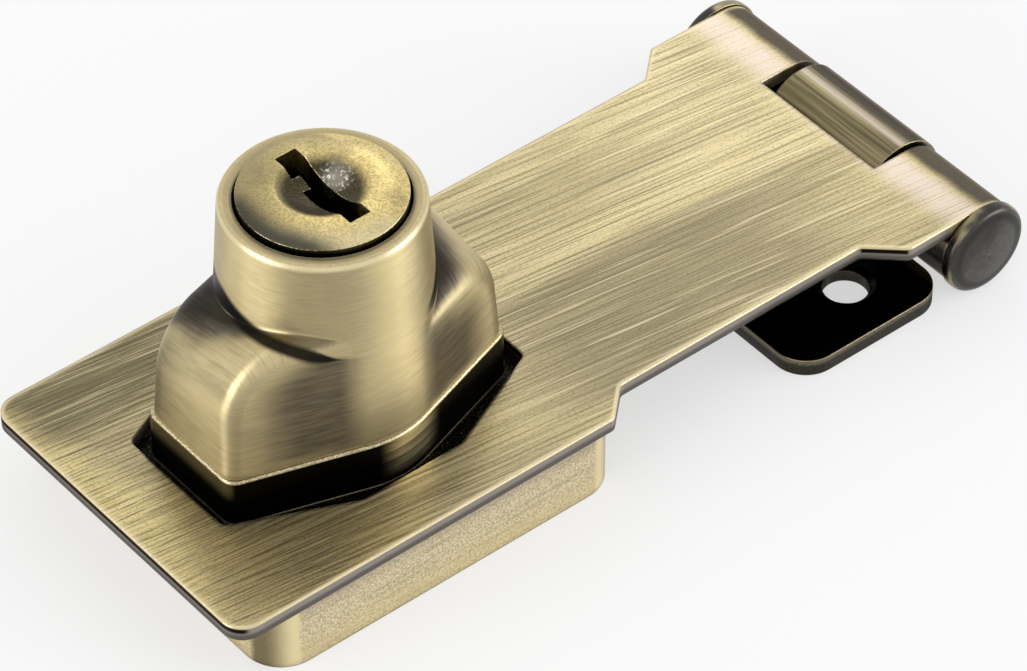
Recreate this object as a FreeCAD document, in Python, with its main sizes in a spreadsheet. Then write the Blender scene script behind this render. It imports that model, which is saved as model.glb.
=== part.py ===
import FreeCAD, Part
import math
import os
import Sketcher

# Keyed hasp lock: a slotted strap swings down over a cast base, and a keyed knob on that base
# turns a quarter turn so that its wings hold the strap shut.
# Frame: origin on the knob's axis in the plane that is screwed to the door, +X towards the hinge,
# +Z away from the door. Millimetres.

SIZES = [
    ("strap_reach", 76.0, "free end of the strap to the hinge axis"),
    ("strap_end_from_knob", 21.2, "free end of the strap to the knob axis"),
    ("strap_width", 32.0, "widest part of the strap, at the knob"),
    ("strap_thickness", 1.3, "sheet of the strap"),
    ("strap_corner", 2.0, "corner radius of the free end"),
    ("neck_width", 26.8, "narrow part of the strap"),
    ("neck_start", 15.9, "knob axis to where the strap starts to narrow"),
    ("neck_taper", 2.8, "length over which it narrows"),
    ("neck_to_hinge", 10.8, "end of the neck to the hinge axis"),
    ("flare_taper", 3.0, "length over which the neck widens to the knuckles"),
    ("knuckle_width", 32.3, "width over both knuckles of the strap"),
    ("jog_corner", 0.8, "radius at the corners of the neck"),
    ("window_width", 14.1, "gap between the strap's knuckles"),
    ("window_gap", 0.2, "strap's window edge to the leaf's knuckle"),
    ("strap_curl", 300.0, "angle through which the strap wraps the pin"),
    ("pin_radius", 2.55, "hinge pin's shank"),
    ("hinge_play", 0.05, "radial play of the knuckles on the pin"),
    ("pin_end_play", 0.1, "strap's knuckle to the pin's head"),
    ("pin_head_radius", 4.1, "riveted heads of the pin"),
    ("pin_head_rim", 1.0, "straight edge of the head"),
    ("pin_head_dome", 0.35, "height of the head's dome"),
    ("pin_head_round", 0.6, "rounding between the head's rim and its dome"),
    ("leaf_thickness", 1.55, "sheet of the hinge leaf"),
    ("leaf_overhang", 0.3, "leaf's plate beyond the strap's knuckles, each side"),
    ("leaf_length", 16.0, "leaf's plate along the strap"),
    ("leaf_to_hinge", 3.4, "end of the leaf's plate to the hinge axis"),
    ("leaf_corner", 3.0, "corner radius of the leaf"),
    ("leaf_knuckle_width", 12.6, "knuckle of the leaf"),
    ("leaf_knuckle_shift", -0.35, "leaf's knuckle off the centre line"),
    ("leaf_curl", 295.0, "angle through which the leaf wraps the pin"),
    ("leaf_hole_radius", 1.95, "screw holes of the leaf"),
    ("leaf_countersink", 0.5, "bevel round the leaf's screw holes"),
    ("leaf_hole_spacing", 21.6, "between the leaf's screw holes"),
    ("leaf_hole_to_hinge", 9.6, "leaf's screw holes to the hinge axis"),
    ("seat_gap", 0.05, "closed strap above the base"),
    ("base_length", 35.0, "cast base, along the strap"),
    ("base_width", 30.5, "cast base, across the strap"),
    ("base_corner", 3.5, "upright corners of the base"),
    ("base_edge", 0.6, "rounding of the base's top edge"),
    ("base_screw_radius", 2.2, "screw holes of the base"),
    ("boss_flank_rise", 0.9, "boss's flank beside the base's screws, beyond its end's half width"),
    ("countersink_margin", 0.5, "base's countersinks from the boss and from the base's sides"),
    ("countersink_end_margin", 0.4, "base's countersinks from the base's ends"),
    ("recess_radius", 9.2, "recess under the base for the knob's ring and washer"),
    ("recess_depth", 2.6, "depth of that recess"),
    ("boss_half_length", 13.8, "boss, from the knob axis to its end"),
    ("boss_end_half_width", 5.35, "half the width of the boss's end"),
    ("boss_round_radius", 9.3, "round middle of the boss"),
    ("boss_corner", 1.4, "upright corners of the boss"),
    ("boss_edge", 0.35, "rounding of the boss's top edge"),
    ("slot_end_clearance", 1.2, "strap's slot beyond the boss's end"),
    ("slot_corner_clearance", 0.6, "strap's slot beside the boss's end"),
    ("slot_side_clearance", 1.3, "strap's slot beside the boss's round middle"),
    ("slot_flat", 9.7, "straight side of the slot"),
    ("slot_corner", 0.8, "corners of the slot"),
    ("wing_gap", 3.15, "closed strap to the underside of the knob's wings"),
    ("knob_gap", 0.1, "knob above the boss"),
    ("knob_inset", 0.1, "knob's outline inside the boss's"),
    ("wing_tip_inset", 0.05, "the same at the sides of the wings' tips"),
    ("knob_height", 18.15, "knob from the boss to its rim"),
    ("knob_draft", 3.6, "taper of the knob's walls, degrees"),
    ("knob_round_excess", 0.05, "knob's round part proud of the wings' middle"),
    ("rim_round", 0.4, "rounding of the knob's rim"),
    ("wing_height", 10.4, "wings above the boss, at their middle"),
    ("wing_slope", 11.0, "fall of the wings' tops across them, degrees"),
    ("wing_shoulder", 5.8, "rounding of the wings' ends over the top"),
    ("wing_edge", 1.5, "rounding of the wings' high edges"),
    ("wing_low_edge", 2.4, "rounding of the wings' low edges"),
    ("head_radius", 6.7, "face of the lock plug"),
    ("head_gap", 0.25, "ring-shaped gap round the plug's face"),
    ("head_depth", 1.9, "rim of the knob down to the seat of the plug's head"),
    ("head_stand", 0.5, "edge of the plug's face above the rim"),
    ("crown_radius", 4.3, "top of the ring-shaped crown of the face"),
    ("crown_rise", 0.65, "crown above the face's edge"),
    ("dimple_radius", 3.6, "dimple of the plug's face"),
    ("dimple_depth", 1.2, "dimple below the crown"),
    ("dimple_lip", 0.5, "rounding of the dimple's lip"),
    ("keyway_length", 9.4, "slot for the key"),
    ("keyway_width", 2.0, "slot for the key"),
    ("ward_start", 1.2, "keyway's ward from the plug's axis"),
    ("ward_length", 1.3, "length of the ward along the keyway"),
    ("ward_width", 0.8, "ward's reach into the keyway"),
    ("keyway_depth", 16.0, "rim of the knob down to the end of the keyway"),
    ("plug_radius", 5.5, "barrel of the plug"),
    ("plug_play", 0.05, "radial play of the plug in the knob"),
    ("plug_end_play", 0.05, "end play of the plug and of the cam"),
    ("spigot_radius", 6.6, "round spigot of the knob through the base"),
    ("spigot_play", 0.05, "radial play of the spigot in the base"),
    ("spigot_foot", 0.8, "spigot's end above the door"),
    ("spigot_bore", 5.4, "bore of the spigot, for cam and bolt"),
    ("spigot_bore_depth", 7.0, "depth of that bore"),
    ("web_thickness", 3.6, "wall between the plug's bore and the spigot's"),
    ("tail_radius", 1.6, "tail of the plug"),
    ("tail_flat", 1.2, "flats of the tail from its axis"),
    ("tail_play", 0.05, "clearance round the tail"),
    ("fixed_gap", 0.025, "clearance of the pieces that are fixed in place in the knob"),
    ("cam_radius", 5.1, "cam plate"),
    ("cam_thickness", 1.4, "cam plate"),
    ("cam_start", 2.85, "drive pin from the axis with the bolt drawn in"),
    ("bolt_travel", 1.3, "travel of the locking bolt"),
    ("drive_pin_radius", 0.5, "drive pin of the bolt"),
    ("drive_pin_play", 0.1, "clearance of the drive pin in the cam's slot"),
    ("cam_gap", 0.1, "cam plate above the bolt"),
    ("bolt_width", 3.0, "locking bolt"),
    ("bolt_thickness", 2.2, "locking bolt"),
    ("bolt_tail", 1.9, "inner end of the drawn-in bolt from the axis"),
    ("bolt_nose_gap", 0.2, "drawn-in bolt inside the spigot's wall"),
    ("bolt_play", 0.08, "clearance round the bolt"),
    ("notch_play", 0.3, "clearance of the bolt in the base's notches"),
    ("screw_head_radius", 1.5, "head of the cam's screw"),
    ("screw_head_height", 1.2, "head of the cam's screw"),
    ("screw_shank_radius", 0.8, "shank of the cam's screw"),
    ("screw_length", 3.2, "shank of the cam's screw"),
    ("screw_slot", 0.5, "driver's slot of the cam's screw"),
    ("ring_thickness", 0.6, "retaining ring"),
    ("ring_outer", 7.7, "retaining ring"),
    ("ring_opening", 60.0, "gap of the retaining ring, degrees"),
    ("groove_depth", 0.6, "groove in the spigot for the ring"),
    ("washer_thickness", 0.5, "thrust washer"),
    ("washer_outer", 8.6, "thrust washer"),
    ("washer_play", 0.15, "radial play of the thrust washer on the spigot"),
    ("stack_play", 0.05, "end play of the ring and the washer"),
    ("stop_peg_radius", 0.5, "peg under the knob that stops its turn"),
    ("stop_peg_length", 1.0, "the same peg"),
    ("stop_track_radius", 7.85, "peg's path round the knob axis"),
    ("stop_play", 0.3, "clearance of the peg in its groove"),
    ("knob_turn", 90.0, "turn of the knob between its stops, degrees"),
    ("wafer_thickness", 1.2, "wafers"),
    ("wafer_pitch", 2.2, "from one wafer to the next"),
    ("wafer_half_width", 3.0, "half the width of a wafer"),
    ("wafer_inset", 0.05, "end of a wafer inside the plug's barrel"),
    ("wafer_travel", 0.8, "travel of the wafers"),
    ("wafer_play", 0.03, "clearance of a wafer in its slot"),
    ("channel_side_play", 0.2, "wafers' channel in the knob beside the wafers"),
    ("channel_end_play", 0.4, "wafers' channel in the knob beyond the pushed-out wafers"),
    ("wafers_from_seat", 12.4, "plug head's seat to the underside of the lowest wafer slot"),
    ("window_length", 8.6, "wafer's window for the key"),
    ("window_breadth", 2.3, "wafer's window for the key"),
    ("ear_width", 1.4, "wafer's ear, beside its body"),
    ("ear_length", 1.0, "wafer's ear, along its travel"),
    ("ear_start", 0.2, "ear from the wafer's centre"),
    ("spring_length", 2.7, "wafer spring, pressed"),
    ("spring_radius", 0.42, "wafer spring, axis to the middle of the wire"),
    ("spring_wire", 0.1, "radius of the spring's wire"),
    ("spring_turns", 4.0, "turns of a wafer spring"),
    ("spring_gap", 0.05, "wafer spring to its seat and to the ear"),
]

# The key's cuts: how far each wafer's window stands off the wafer's centre, lowest wafer first.
KEY_CUTS = [0.35, -0.2, 0.5, 0.1, -0.4]

# Times a size that a cut reaches so that it comes clear of its piece.
BEYOND = 2
# Distance within which an edge counts as lying at a place.
NEARNESS = 1e-3
# Share of its length that an upright edge rises.
UPRIGHT = 0.9

doc = FreeCAD.newDocument("keyed_hasp_lock")
sheet = doc.addObject("Spreadsheet::Sheet", "Sizes")


class Size:
    """A length or an angle with its value and the formula over the sheet that gives it."""

    def __init__(self, value, formula):
        self.value = value
        self.formula = formula

    def __add__(self, other):
        other = as_size(other)
        return Size(self.value + other.value, f"({self.formula} + {other.formula})")

    def __sub__(self, other):
        other = as_size(other)
        return Size(self.value - other.value, f"({self.formula} - {other.formula})")

    def __mul__(self, other):
        other = as_size(other)
        return Size(self.value * other.value, f"({self.formula} * {other.formula})")

    def __truediv__(self, other):
        other = as_size(other)
        return Size(self.value / other.value, f"({self.formula} / {other.formula})")

    def __neg__(self):
        return Size(-self.value, f"(0 - {self.formula})")


def as_size(value):
    return value if isinstance(value, Size) else Size(float(value), f"({float(value)})")


def root(size):
    return Size(math.sqrt(size.value), f"sqrt({size.formula})")


def cosine(angle):
    return Size(math.cos(math.radians(angle.value)), f"cos({angle.formula})")


def sine(angle):
    return Size(math.sin(math.radians(angle.value)), f"sin({angle.formula})")


def write_sheet():
    """Put every driving size into the sheet and hand them back by name."""
    named = {}
    sizes = SIZES + [(f"key_cut_{number}", cut, "window off the wafer's centre")
                     for number, cut in enumerate(KEY_CUTS, 1)]
    for row, (name, value, note) in enumerate(sizes, 1):
        sheet.set(f"A{row}", name)
        sheet.set(f"B{row}", str(value))
        sheet.set(f"C{row}", note)
        sheet.setAlias(f"B{row}", name)
        named[name] = Size(value, f"Sizes.{name}")
    doc.recompute()
    return named


size = write_sheet()
ZERO = as_size(0)

# Places that several pieces share.
hinge_x = size["strap_reach"] - size["strap_end_from_knob"]
knuckle_bore = size["pin_radius"] + size["hinge_play"]
leaf_knuckle = knuckle_bore + size["leaf_thickness"]
strap_knuckle = knuckle_bore + size["strap_thickness"]
hinge_z = leaf_knuckle
strap_top = hinge_z + strap_knuckle
strap_bottom = hinge_z + knuckle_bore
base_top = strap_bottom - size["seat_gap"]
boss_top = strap_top + size["wing_gap"]
knob_foot = boss_top + size["knob_gap"]
knob_top = boss_top + size["knob_height"]
head_seat = knob_top - size["head_depth"]
spigot_roof = size["spigot_foot"] + size["spigot_bore_depth"]
plug_bore = size["plug_radius"] + size["plug_play"]
plug_bore_floor = spigot_roof + size["web_thickness"]
plug_foot = plug_bore_floor + size["plug_end_play"]
cam_top = spigot_roof - size["plug_end_play"]
cam_bottom = cam_top - size["cam_thickness"]
bolt_top = cam_bottom - size["cam_gap"]
bolt_bottom = bolt_top - size["bolt_thickness"]
bolt_nose = size["spigot_radius"] - size["bolt_nose_gap"]
channel_floor = bolt_bottom - size["bolt_play"]
washer_top = size["recess_depth"] - size["stack_play"]
washer_bottom = washer_top - size["washer_thickness"]
ring_top = washer_bottom - size["stack_play"]
ring_bottom = ring_top - size["ring_thickness"]
wafer_slot_floor = head_seat - size["wafers_from_seat"]
wafer_end = size["plug_radius"] - size["wafer_inset"]
ear_side = size["wafer_half_width"] + size["ear_width"]


def bind(thing, name, value):
    """Tie a property to its formula over the sheet."""
    value = as_size(value)
    thing.setExpression(name, value.formula)


def new_body(name):
    body = doc.addObject("PartDesign::Body", name)
    body.Label = name
    return body


def origin_plane(body, role):
    return [item for item in body.Origin.OriginFeatures if item.Role == role][0]


def new_sketch(body, name, role="XY_Plane", right=ZERO, up=ZERO, lift=ZERO):
    """A sketch on one of the body's own planes, shifted by right, up and lift in that plane's frame."""
    sketch = body.newObject("Sketcher::SketchObject", name)
    sketch.AttachmentSupport = [(origin_plane(body, role), "")]
    sketch.MapMode = "FlatFace"
    shift = FreeCAD.Vector(right.value, up.value, lift.value)
    sketch.AttachmentOffset = FreeCAD.Placement(shift, FreeCAD.Rotation())
    bind(sketch, "AttachmentOffset.Base.x", right)
    bind(sketch, "AttachmentOffset.Base.y", up)
    bind(sketch, "AttachmentOffset.Base.z", lift)
    return sketch


def fix(sketch, kind, value, *where):
    """Add a dimension and tie it to its formula."""
    number = sketch.addConstraint(Sketcher.Constraint(kind, *where, value.value))
    sketch.setExpression(f"Constraints[{number}]", value.formula)


def fix_point(sketch, edge, end, x, y):
    fix(sketch, "DistanceX", x, -1, 1, edge, end)
    fix(sketch, "DistanceY", y, -1, 1, edge, end)


def add_arc(sketch, start, finish, centre, radius, leftwards):
    """Arc from start to finish; hands back its number and which of its ends is which."""
    middle = FreeCAD.Vector(centre[0].value, centre[1].value, 0)
    first, last = (start, finish) if leftwards else (finish, start)
    first_angle = math.atan2(first.y - middle.y, first.x - middle.x)
    last_angle = math.atan2(last.y - middle.y, last.x - middle.x)
    while last_angle <= first_angle:
        last_angle += 2 * math.pi
    circle = Part.Circle(middle, FreeCAD.Vector(0, 0, 1), radius.value)
    edge = sketch.addGeometry(Part.ArcOfCircle(circle, first_angle, last_angle), False)
    return (edge, 1, 2) if leftwards else (edge, 2, 1)


def fix_centre(sketch, edge, centre, start, finish):
    """With its ends fixed, an arc needs one coordinate of its centre, the one across its chord."""
    if abs(finish.y - start.y) > abs(finish.x - start.x):
        fix(sketch, "DistanceX", centre[0], -1, 1, edge, 3)
    else:
        fix(sketch, "DistanceY", centre[1], -1, 1, edge, 3)


def outline(sketch, corners, arcs=None):
    """Close the corners with straight edges; arcs gives (centre, radius, leftwards) for the
    edge that leaves the corner of that number."""
    arcs = arcs or {}
    points = [FreeCAD.Vector(x.value, y.value, 0) for x, y in corners]
    edges = []
    for number, start in enumerate(points):
        finish = points[(number + 1) % len(points)]
        if number in arcs:
            centre, radius, leftwards = arcs[number]
            edges.append(add_arc(sketch, start, finish, centre, radius, leftwards))
        else:
            edges.append((sketch.addGeometry(Part.LineSegment(start, finish), False), 1, 2))
    for number, (edge, start_end, finish_end) in enumerate(edges):
        following = edges[(number + 1) % len(edges)]
        sketch.addConstraint(
            Sketcher.Constraint("Coincident", edge, finish_end, following[0], following[1]))
        fix_point(sketch, edge, start_end, *corners[number])
        if number in arcs:
            fix_centre(sketch, edge, arcs[number][0], points[number],
                       points[(number + 1) % len(points)])
    return sketch


def add_circle(sketch, radius, x=ZERO, y=ZERO):
    centre = FreeCAD.Vector(x.value, y.value, 0)
    circle = Part.Circle(centre, FreeCAD.Vector(0, 0, 1), radius.value)
    edge = sketch.addGeometry(circle, False)
    fix(sketch, "Radius", radius, edge)
    fix_point(sketch, edge, 3, x, y)
    return sketch


def rectangle(sketch, left, right, bottom, top):
    return outline(sketch, [(left, bottom), (right, bottom), (right, top), (left, top)])


def lozenge(sketch, half_length, end_half_width, round_radius):
    """Outline with two flat ends, a round middle and four flanks that run into it tangentially."""
    length = half_length.value
    width = end_half_width.value
    radius = round_radius.value
    touch = math.atan2(width, length) + math.acos(radius / math.hypot(length, width))
    centre = FreeCAD.Vector(0, 0, 0)
    circle = Part.Circle(centre, FreeCAD.Vector(0, 0, 1), radius)
    corner = [FreeCAD.Vector(length, width, 0), FreeCAD.Vector(-length, width, 0),
              FreeCAD.Vector(-length, -width, 0), FreeCAD.Vector(length, -width, 0)]
    angles = [touch, math.pi - touch, math.pi + touch, 2 * math.pi - touch]
    meet = [FreeCAD.Vector(radius * math.cos(a), radius * math.sin(a), 0) for a in angles]
    ends = [sketch.addGeometry(Part.LineSegment(corner[3], corner[0]), False),
            sketch.addGeometry(Part.LineSegment(corner[1], corner[2]), False)]
    flanks = [sketch.addGeometry(Part.LineSegment(corner[n], meet[n]), False) for n in range(4)]
    rounds = [sketch.addGeometry(Part.ArcOfCircle(circle, angles[0], angles[1]), False),
              sketch.addGeometry(Part.ArcOfCircle(circle, angles[2], angles[3]), False)]
    joins = [(ends[0], 2, flanks[0]), (ends[1], 1, flanks[1]),
             (ends[1], 2, flanks[2]), (ends[0], 1, flanks[3])]
    signs = [(1, 1), (-1, 1), (-1, -1), (1, -1)]
    for (end_line, end_point, flank), (along, across) in zip(joins, signs):
        sketch.addConstraint(Sketcher.Constraint("Coincident", end_line, end_point, flank, 1))
        fix_point(sketch, flank, 1, half_length * along, end_half_width * across)
    touches = [(flanks[0], rounds[0], 1), (flanks[1], rounds[0], 2),
               (flanks[2], rounds[1], 1), (flanks[3], rounds[1], 2)]
    for flank, arc, end in touches:
        sketch.addConstraint(Sketcher.Constraint("Tangent", flank, 2, arc, end))
    for arc in rounds:
        sketch.addConstraint(Sketcher.Constraint("Coincident", arc, 3, -1, 1))
    fix(sketch, "Radius", round_radius, rounds[0])
    sketch.addConstraint(Sketcher.Constraint("Equal", rounds[0], rounds[1]))
    return sketch


def pad(body, name, sketch, length, symmetric=False, downwards=False, draft=None):
    feature = body.newObject("PartDesign::Pad", name)
    feature.Profile = sketch
    bind(feature, "Length", length)
    feature.SideType = "Symmetric" if symmetric else "One side"
    feature.Reversed = downwards
    if draft is not None:
        bind(feature, "TaperAngle", -draft)
    sketch.Visibility = False
    doc.recompute()
    return feature


def cut(body, name, sketch, length, upwards=False):
    """Pocket that goes against the sketch's normal, or along it with upwards."""
    before = body.Shape.Volume
    feature = body.newObject("PartDesign::Pocket", name)
    feature.Profile = sketch
    bind(feature, "Length", length)
    feature.Reversed = upwards
    doc.recompute()
    if body.Shape.Volume >= before:
        raise RuntimeError(f"{name} cuts nothing")
    return feature


def turn(body, name, sketch, kind="PartDesign::Revolution"):
    """Whole turn of the sketch about its upright axis."""
    feature = body.newObject(kind, name)
    feature.Profile = sketch
    feature.ReferenceAxis = (sketch, ["V_Axis"])
    feature.Angle = 360
    doc.recompute()
    return feature


def edges_where(feature, accept):
    return [f"Edge{number}" for number, edge in enumerate(feature.Shape.Edges, 1) if accept(edge)]


def round_edges(body, name, base, radius, accept):
    chosen = edges_where(base, accept)
    if not chosen:
        raise RuntimeError(f"{name} finds no edge")
    feature = body.newObject("PartDesign::Fillet", name)
    feature.Base = (base, chosen)
    bind(feature, "Radius", radius)
    doc.recompute()
    return feature


def bevel_edges(body, name, base, width, accept):
    feature = body.newObject("PartDesign::Chamfer", name)
    feature.Base = (base, edges_where(base, accept))
    bind(feature, "Size", width)
    doc.recompute()
    return feature


def is_upright(edge):
    """Edge that rises about as much as it is long."""
    first, last = edge.Vertexes[0].Point, edge.Vertexes[-1].Point
    return abs(first.z - last.z) > UPRIGHT * edge.Length


def is_circle(edge, radius):
    if edge.Degenerated or edge.Curve.TypeId != "Part::GeomCircle":
        return False
    return abs(edge.Curve.Radius - radius.value) < NEARNESS


def lies_at(edge, height):
    box = edge.BoundBox
    return max(abs(box.ZMin - height.value), abs(box.ZMax - height.value)) < NEARNESS


def around(angle, radius, centre_x=ZERO, centre_y=ZERO):
    """Point at an angle in degrees round a centre."""
    angle = as_size(angle)
    return centre_x + radius * cosine(angle), centre_y + radius * sine(angle)


def make_strap():
    """Stamped strap: a flat sheet curled round the hinge pin, necked, slotted and windowed."""
    body = new_body("hasp_strap")
    free_end = -size["strap_end_from_knob"]
    centre = (hinge_x, hinge_z)
    last = as_size(90) - size["strap_curl"]
    profile = new_sketch(body, "strap_side", "XZ_Plane")
    corners = [(free_end, strap_bottom), (hinge_x, strap_bottom),
               around(last, knuckle_bore, *centre), around(last, strap_knuckle, *centre),
               (hinge_x, strap_top), (free_end, strap_top)]
    outline(profile, corners, {1: (centre, knuckle_bore, False), 3: (centre, strap_knuckle, True)})
    pad(body, "strap_sheet", profile, size["knuckle_width"], symmetric=True)

    neck_end = hinge_x - size["neck_to_hinge"]
    flare_end = neck_end + size["flare_taper"]
    beyond = size["knuckle_width"]
    outside = free_end - size["strap_corner"]
    above = strap_top * BEYOND
    for side, name in ((1, "far"), (-1, "near")):
        plan = new_sketch(body, f"strap_plan_{name}", lift=above)
        outline(plan, [
            (outside, size["strap_width"] / 2 * side),
            (size["neck_start"], size["strap_width"] / 2 * side),
            (size["neck_start"] + size["neck_taper"], size["neck_width"] / 2 * side),
            (neck_end, size["neck_width"] / 2 * side),
            (flare_end, size["knuckle_width"] / 2 * side),
            (flare_end, beyond * side),
            (outside, beyond * side)])
        cut(body, f"strap_trim_{name}", plan, above)
    half_slot = size["boss_half_length"] + size["slot_end_clearance"]
    half_end = size["boss_end_half_width"] + size["slot_corner_clearance"]
    half_middle = size["boss_round_radius"] + size["slot_side_clearance"]
    half_flat = size["slot_flat"] / 2
    slot = new_sketch(body, "strap_slot_plan", lift=above)
    outline(slot, [
        (half_slot, -half_end), (half_slot, half_end), (half_flat, half_middle),
        (-half_flat, half_middle), (-half_slot, half_end), (-half_slot, -half_end),
        (-half_flat, -half_middle), (half_flat, -half_middle)])
    slotted = cut(body, "strap_slot", slot, above)
    slotted = round_edges(body, "strap_slot_corners", slotted, size["slot_corner"],
                          lambda edge: is_upright(edge)
                          and abs(edge.CenterOfMass.x) < half_slot.value + NEARNESS
                          and abs(edge.CenterOfMass.y) < half_middle.value + NEARNESS)
    ended = round_edges(body, "strap_end_corners", slotted, size["strap_corner"],
                        lambda edge: is_upright(edge)
                        and abs(edge.CenterOfMass.x - free_end.value) < NEARNESS
                        and abs(edge.CenterOfMass.y) > half_middle.value)
    round_edges(body, "strap_neck_corners", ended, size["jog_corner"],
                lambda edge: is_upright(edge)
                and edge.CenterOfMass.x > size["neck_start"].value - NEARNESS
                and edge.CenterOfMass.x < flare_end.value + NEARNESS
                and abs(edge.CenterOfMass.y) > half_middle.value)
    reach = leaf_knuckle + size["window_gap"]
    rise = strap_bottom - hinge_z
    window_edge = hinge_x - root(reach * reach - rise * rise)
    half_window = size["window_width"] / 2
    past_curl = strap_knuckle * BEYOND
    window = new_sketch(body, "strap_window_plan", lift=above)
    rectangle(window, window_edge, hinge_x + past_curl, -half_window, half_window)
    cut(body, "strap_window", window, above)
    curl = new_sketch(body, "strap_curl_gap_plan", lift=strap_bottom)
    rectangle(curl, hinge_x - past_curl, hinge_x, -half_window, half_window)
    cut(body, "strap_curl_gap", curl, above)
    return body


def make_leaf():
    """Hinge leaf: a screwed plate whose narrower tongue is curled round the middle of the pin."""
    body = new_body("hinge_leaf")
    plate_end = hinge_x - size["leaf_to_hinge"]
    half_width = size["knuckle_width"] / 2 + size["leaf_overhang"]
    plan = new_sketch(body, "leaf_plan")
    rectangle(plan, plate_end - size["leaf_length"], plate_end, -half_width, half_width)
    plate = pad(body, "leaf_plate", plan, size["leaf_thickness"])
    round_edges(body, "leaf_corners", plate, size["leaf_corner"], is_upright)

    centre = (hinge_x, hinge_z)
    last = size["leaf_curl"] - 90
    tongue_start = plate_end - size["leaf_corner"]
    profile = new_sketch(body, "leaf_side", "XZ_Plane", lift=-size["leaf_knuckle_shift"])
    corners = [(tongue_start, ZERO), (hinge_x, ZERO), around(last, leaf_knuckle, *centre),
               around(last, knuckle_bore, *centre), (hinge_x, size["leaf_thickness"]),
               (tongue_start, size["leaf_thickness"])]
    outline(profile, corners, {1: (centre, leaf_knuckle, True), 3: (centre, knuckle_bore, False)})
    pad(body, "leaf_tongue", profile, size["leaf_knuckle_width"], symmetric=True)
    holes = new_sketch(body, "leaf_holes_plan", lift=size["leaf_thickness"])
    for side in (1, -1):
        add_circle(holes, size["leaf_hole_radius"], hinge_x - size["leaf_hole_to_hinge"],
                   size["leaf_hole_spacing"] / 2 * side)
    drilled = cut(body, "leaf_holes", holes, size["leaf_thickness"])
    bevel_edges(body, "leaf_countersinks", drilled, size["leaf_countersink"],
                lambda edge: lies_at(edge, size["leaf_thickness"])
                and is_circle(edge, size["leaf_hole_radius"]))
    return body


def make_hinge_pin():
    """Riveted pin: a plain shank between two domed heads."""
    body = new_body("hinge_pin")
    inner = size["knuckle_width"] / 2 + size["pin_end_play"]
    rim = inner + size["pin_head_rim"]
    top = rim + size["pin_head_dome"]
    head = size["pin_head_radius"]
    dome = size["pin_head_dome"]
    dome_radius = (head * head + dome * dome) / (dome * 2)
    half = new_sketch(body, "pin_half", "XY_Plane", right=hinge_x, lift=hinge_z)
    shank = size["pin_radius"]
    corners = [(ZERO, -top), (head, -rim), (head, -inner), (shank, -inner),
               (shank, inner), (head, inner), (head, rim), (ZERO, top)]
    outline(half, corners, {0: ((ZERO, dome_radius - top), dome_radius, True),
                            6: ((ZERO, top - dome_radius), dome_radius, True)})
    turned = turn(body, "pin_turned", half)
    round_edges(body, "pin_head_edges", turned, size["pin_head_round"],
                lambda edge: is_circle(edge, head)
                and abs(edge.CenterOfMass.y) > rim.value - NEARNESS)
    return body


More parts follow.
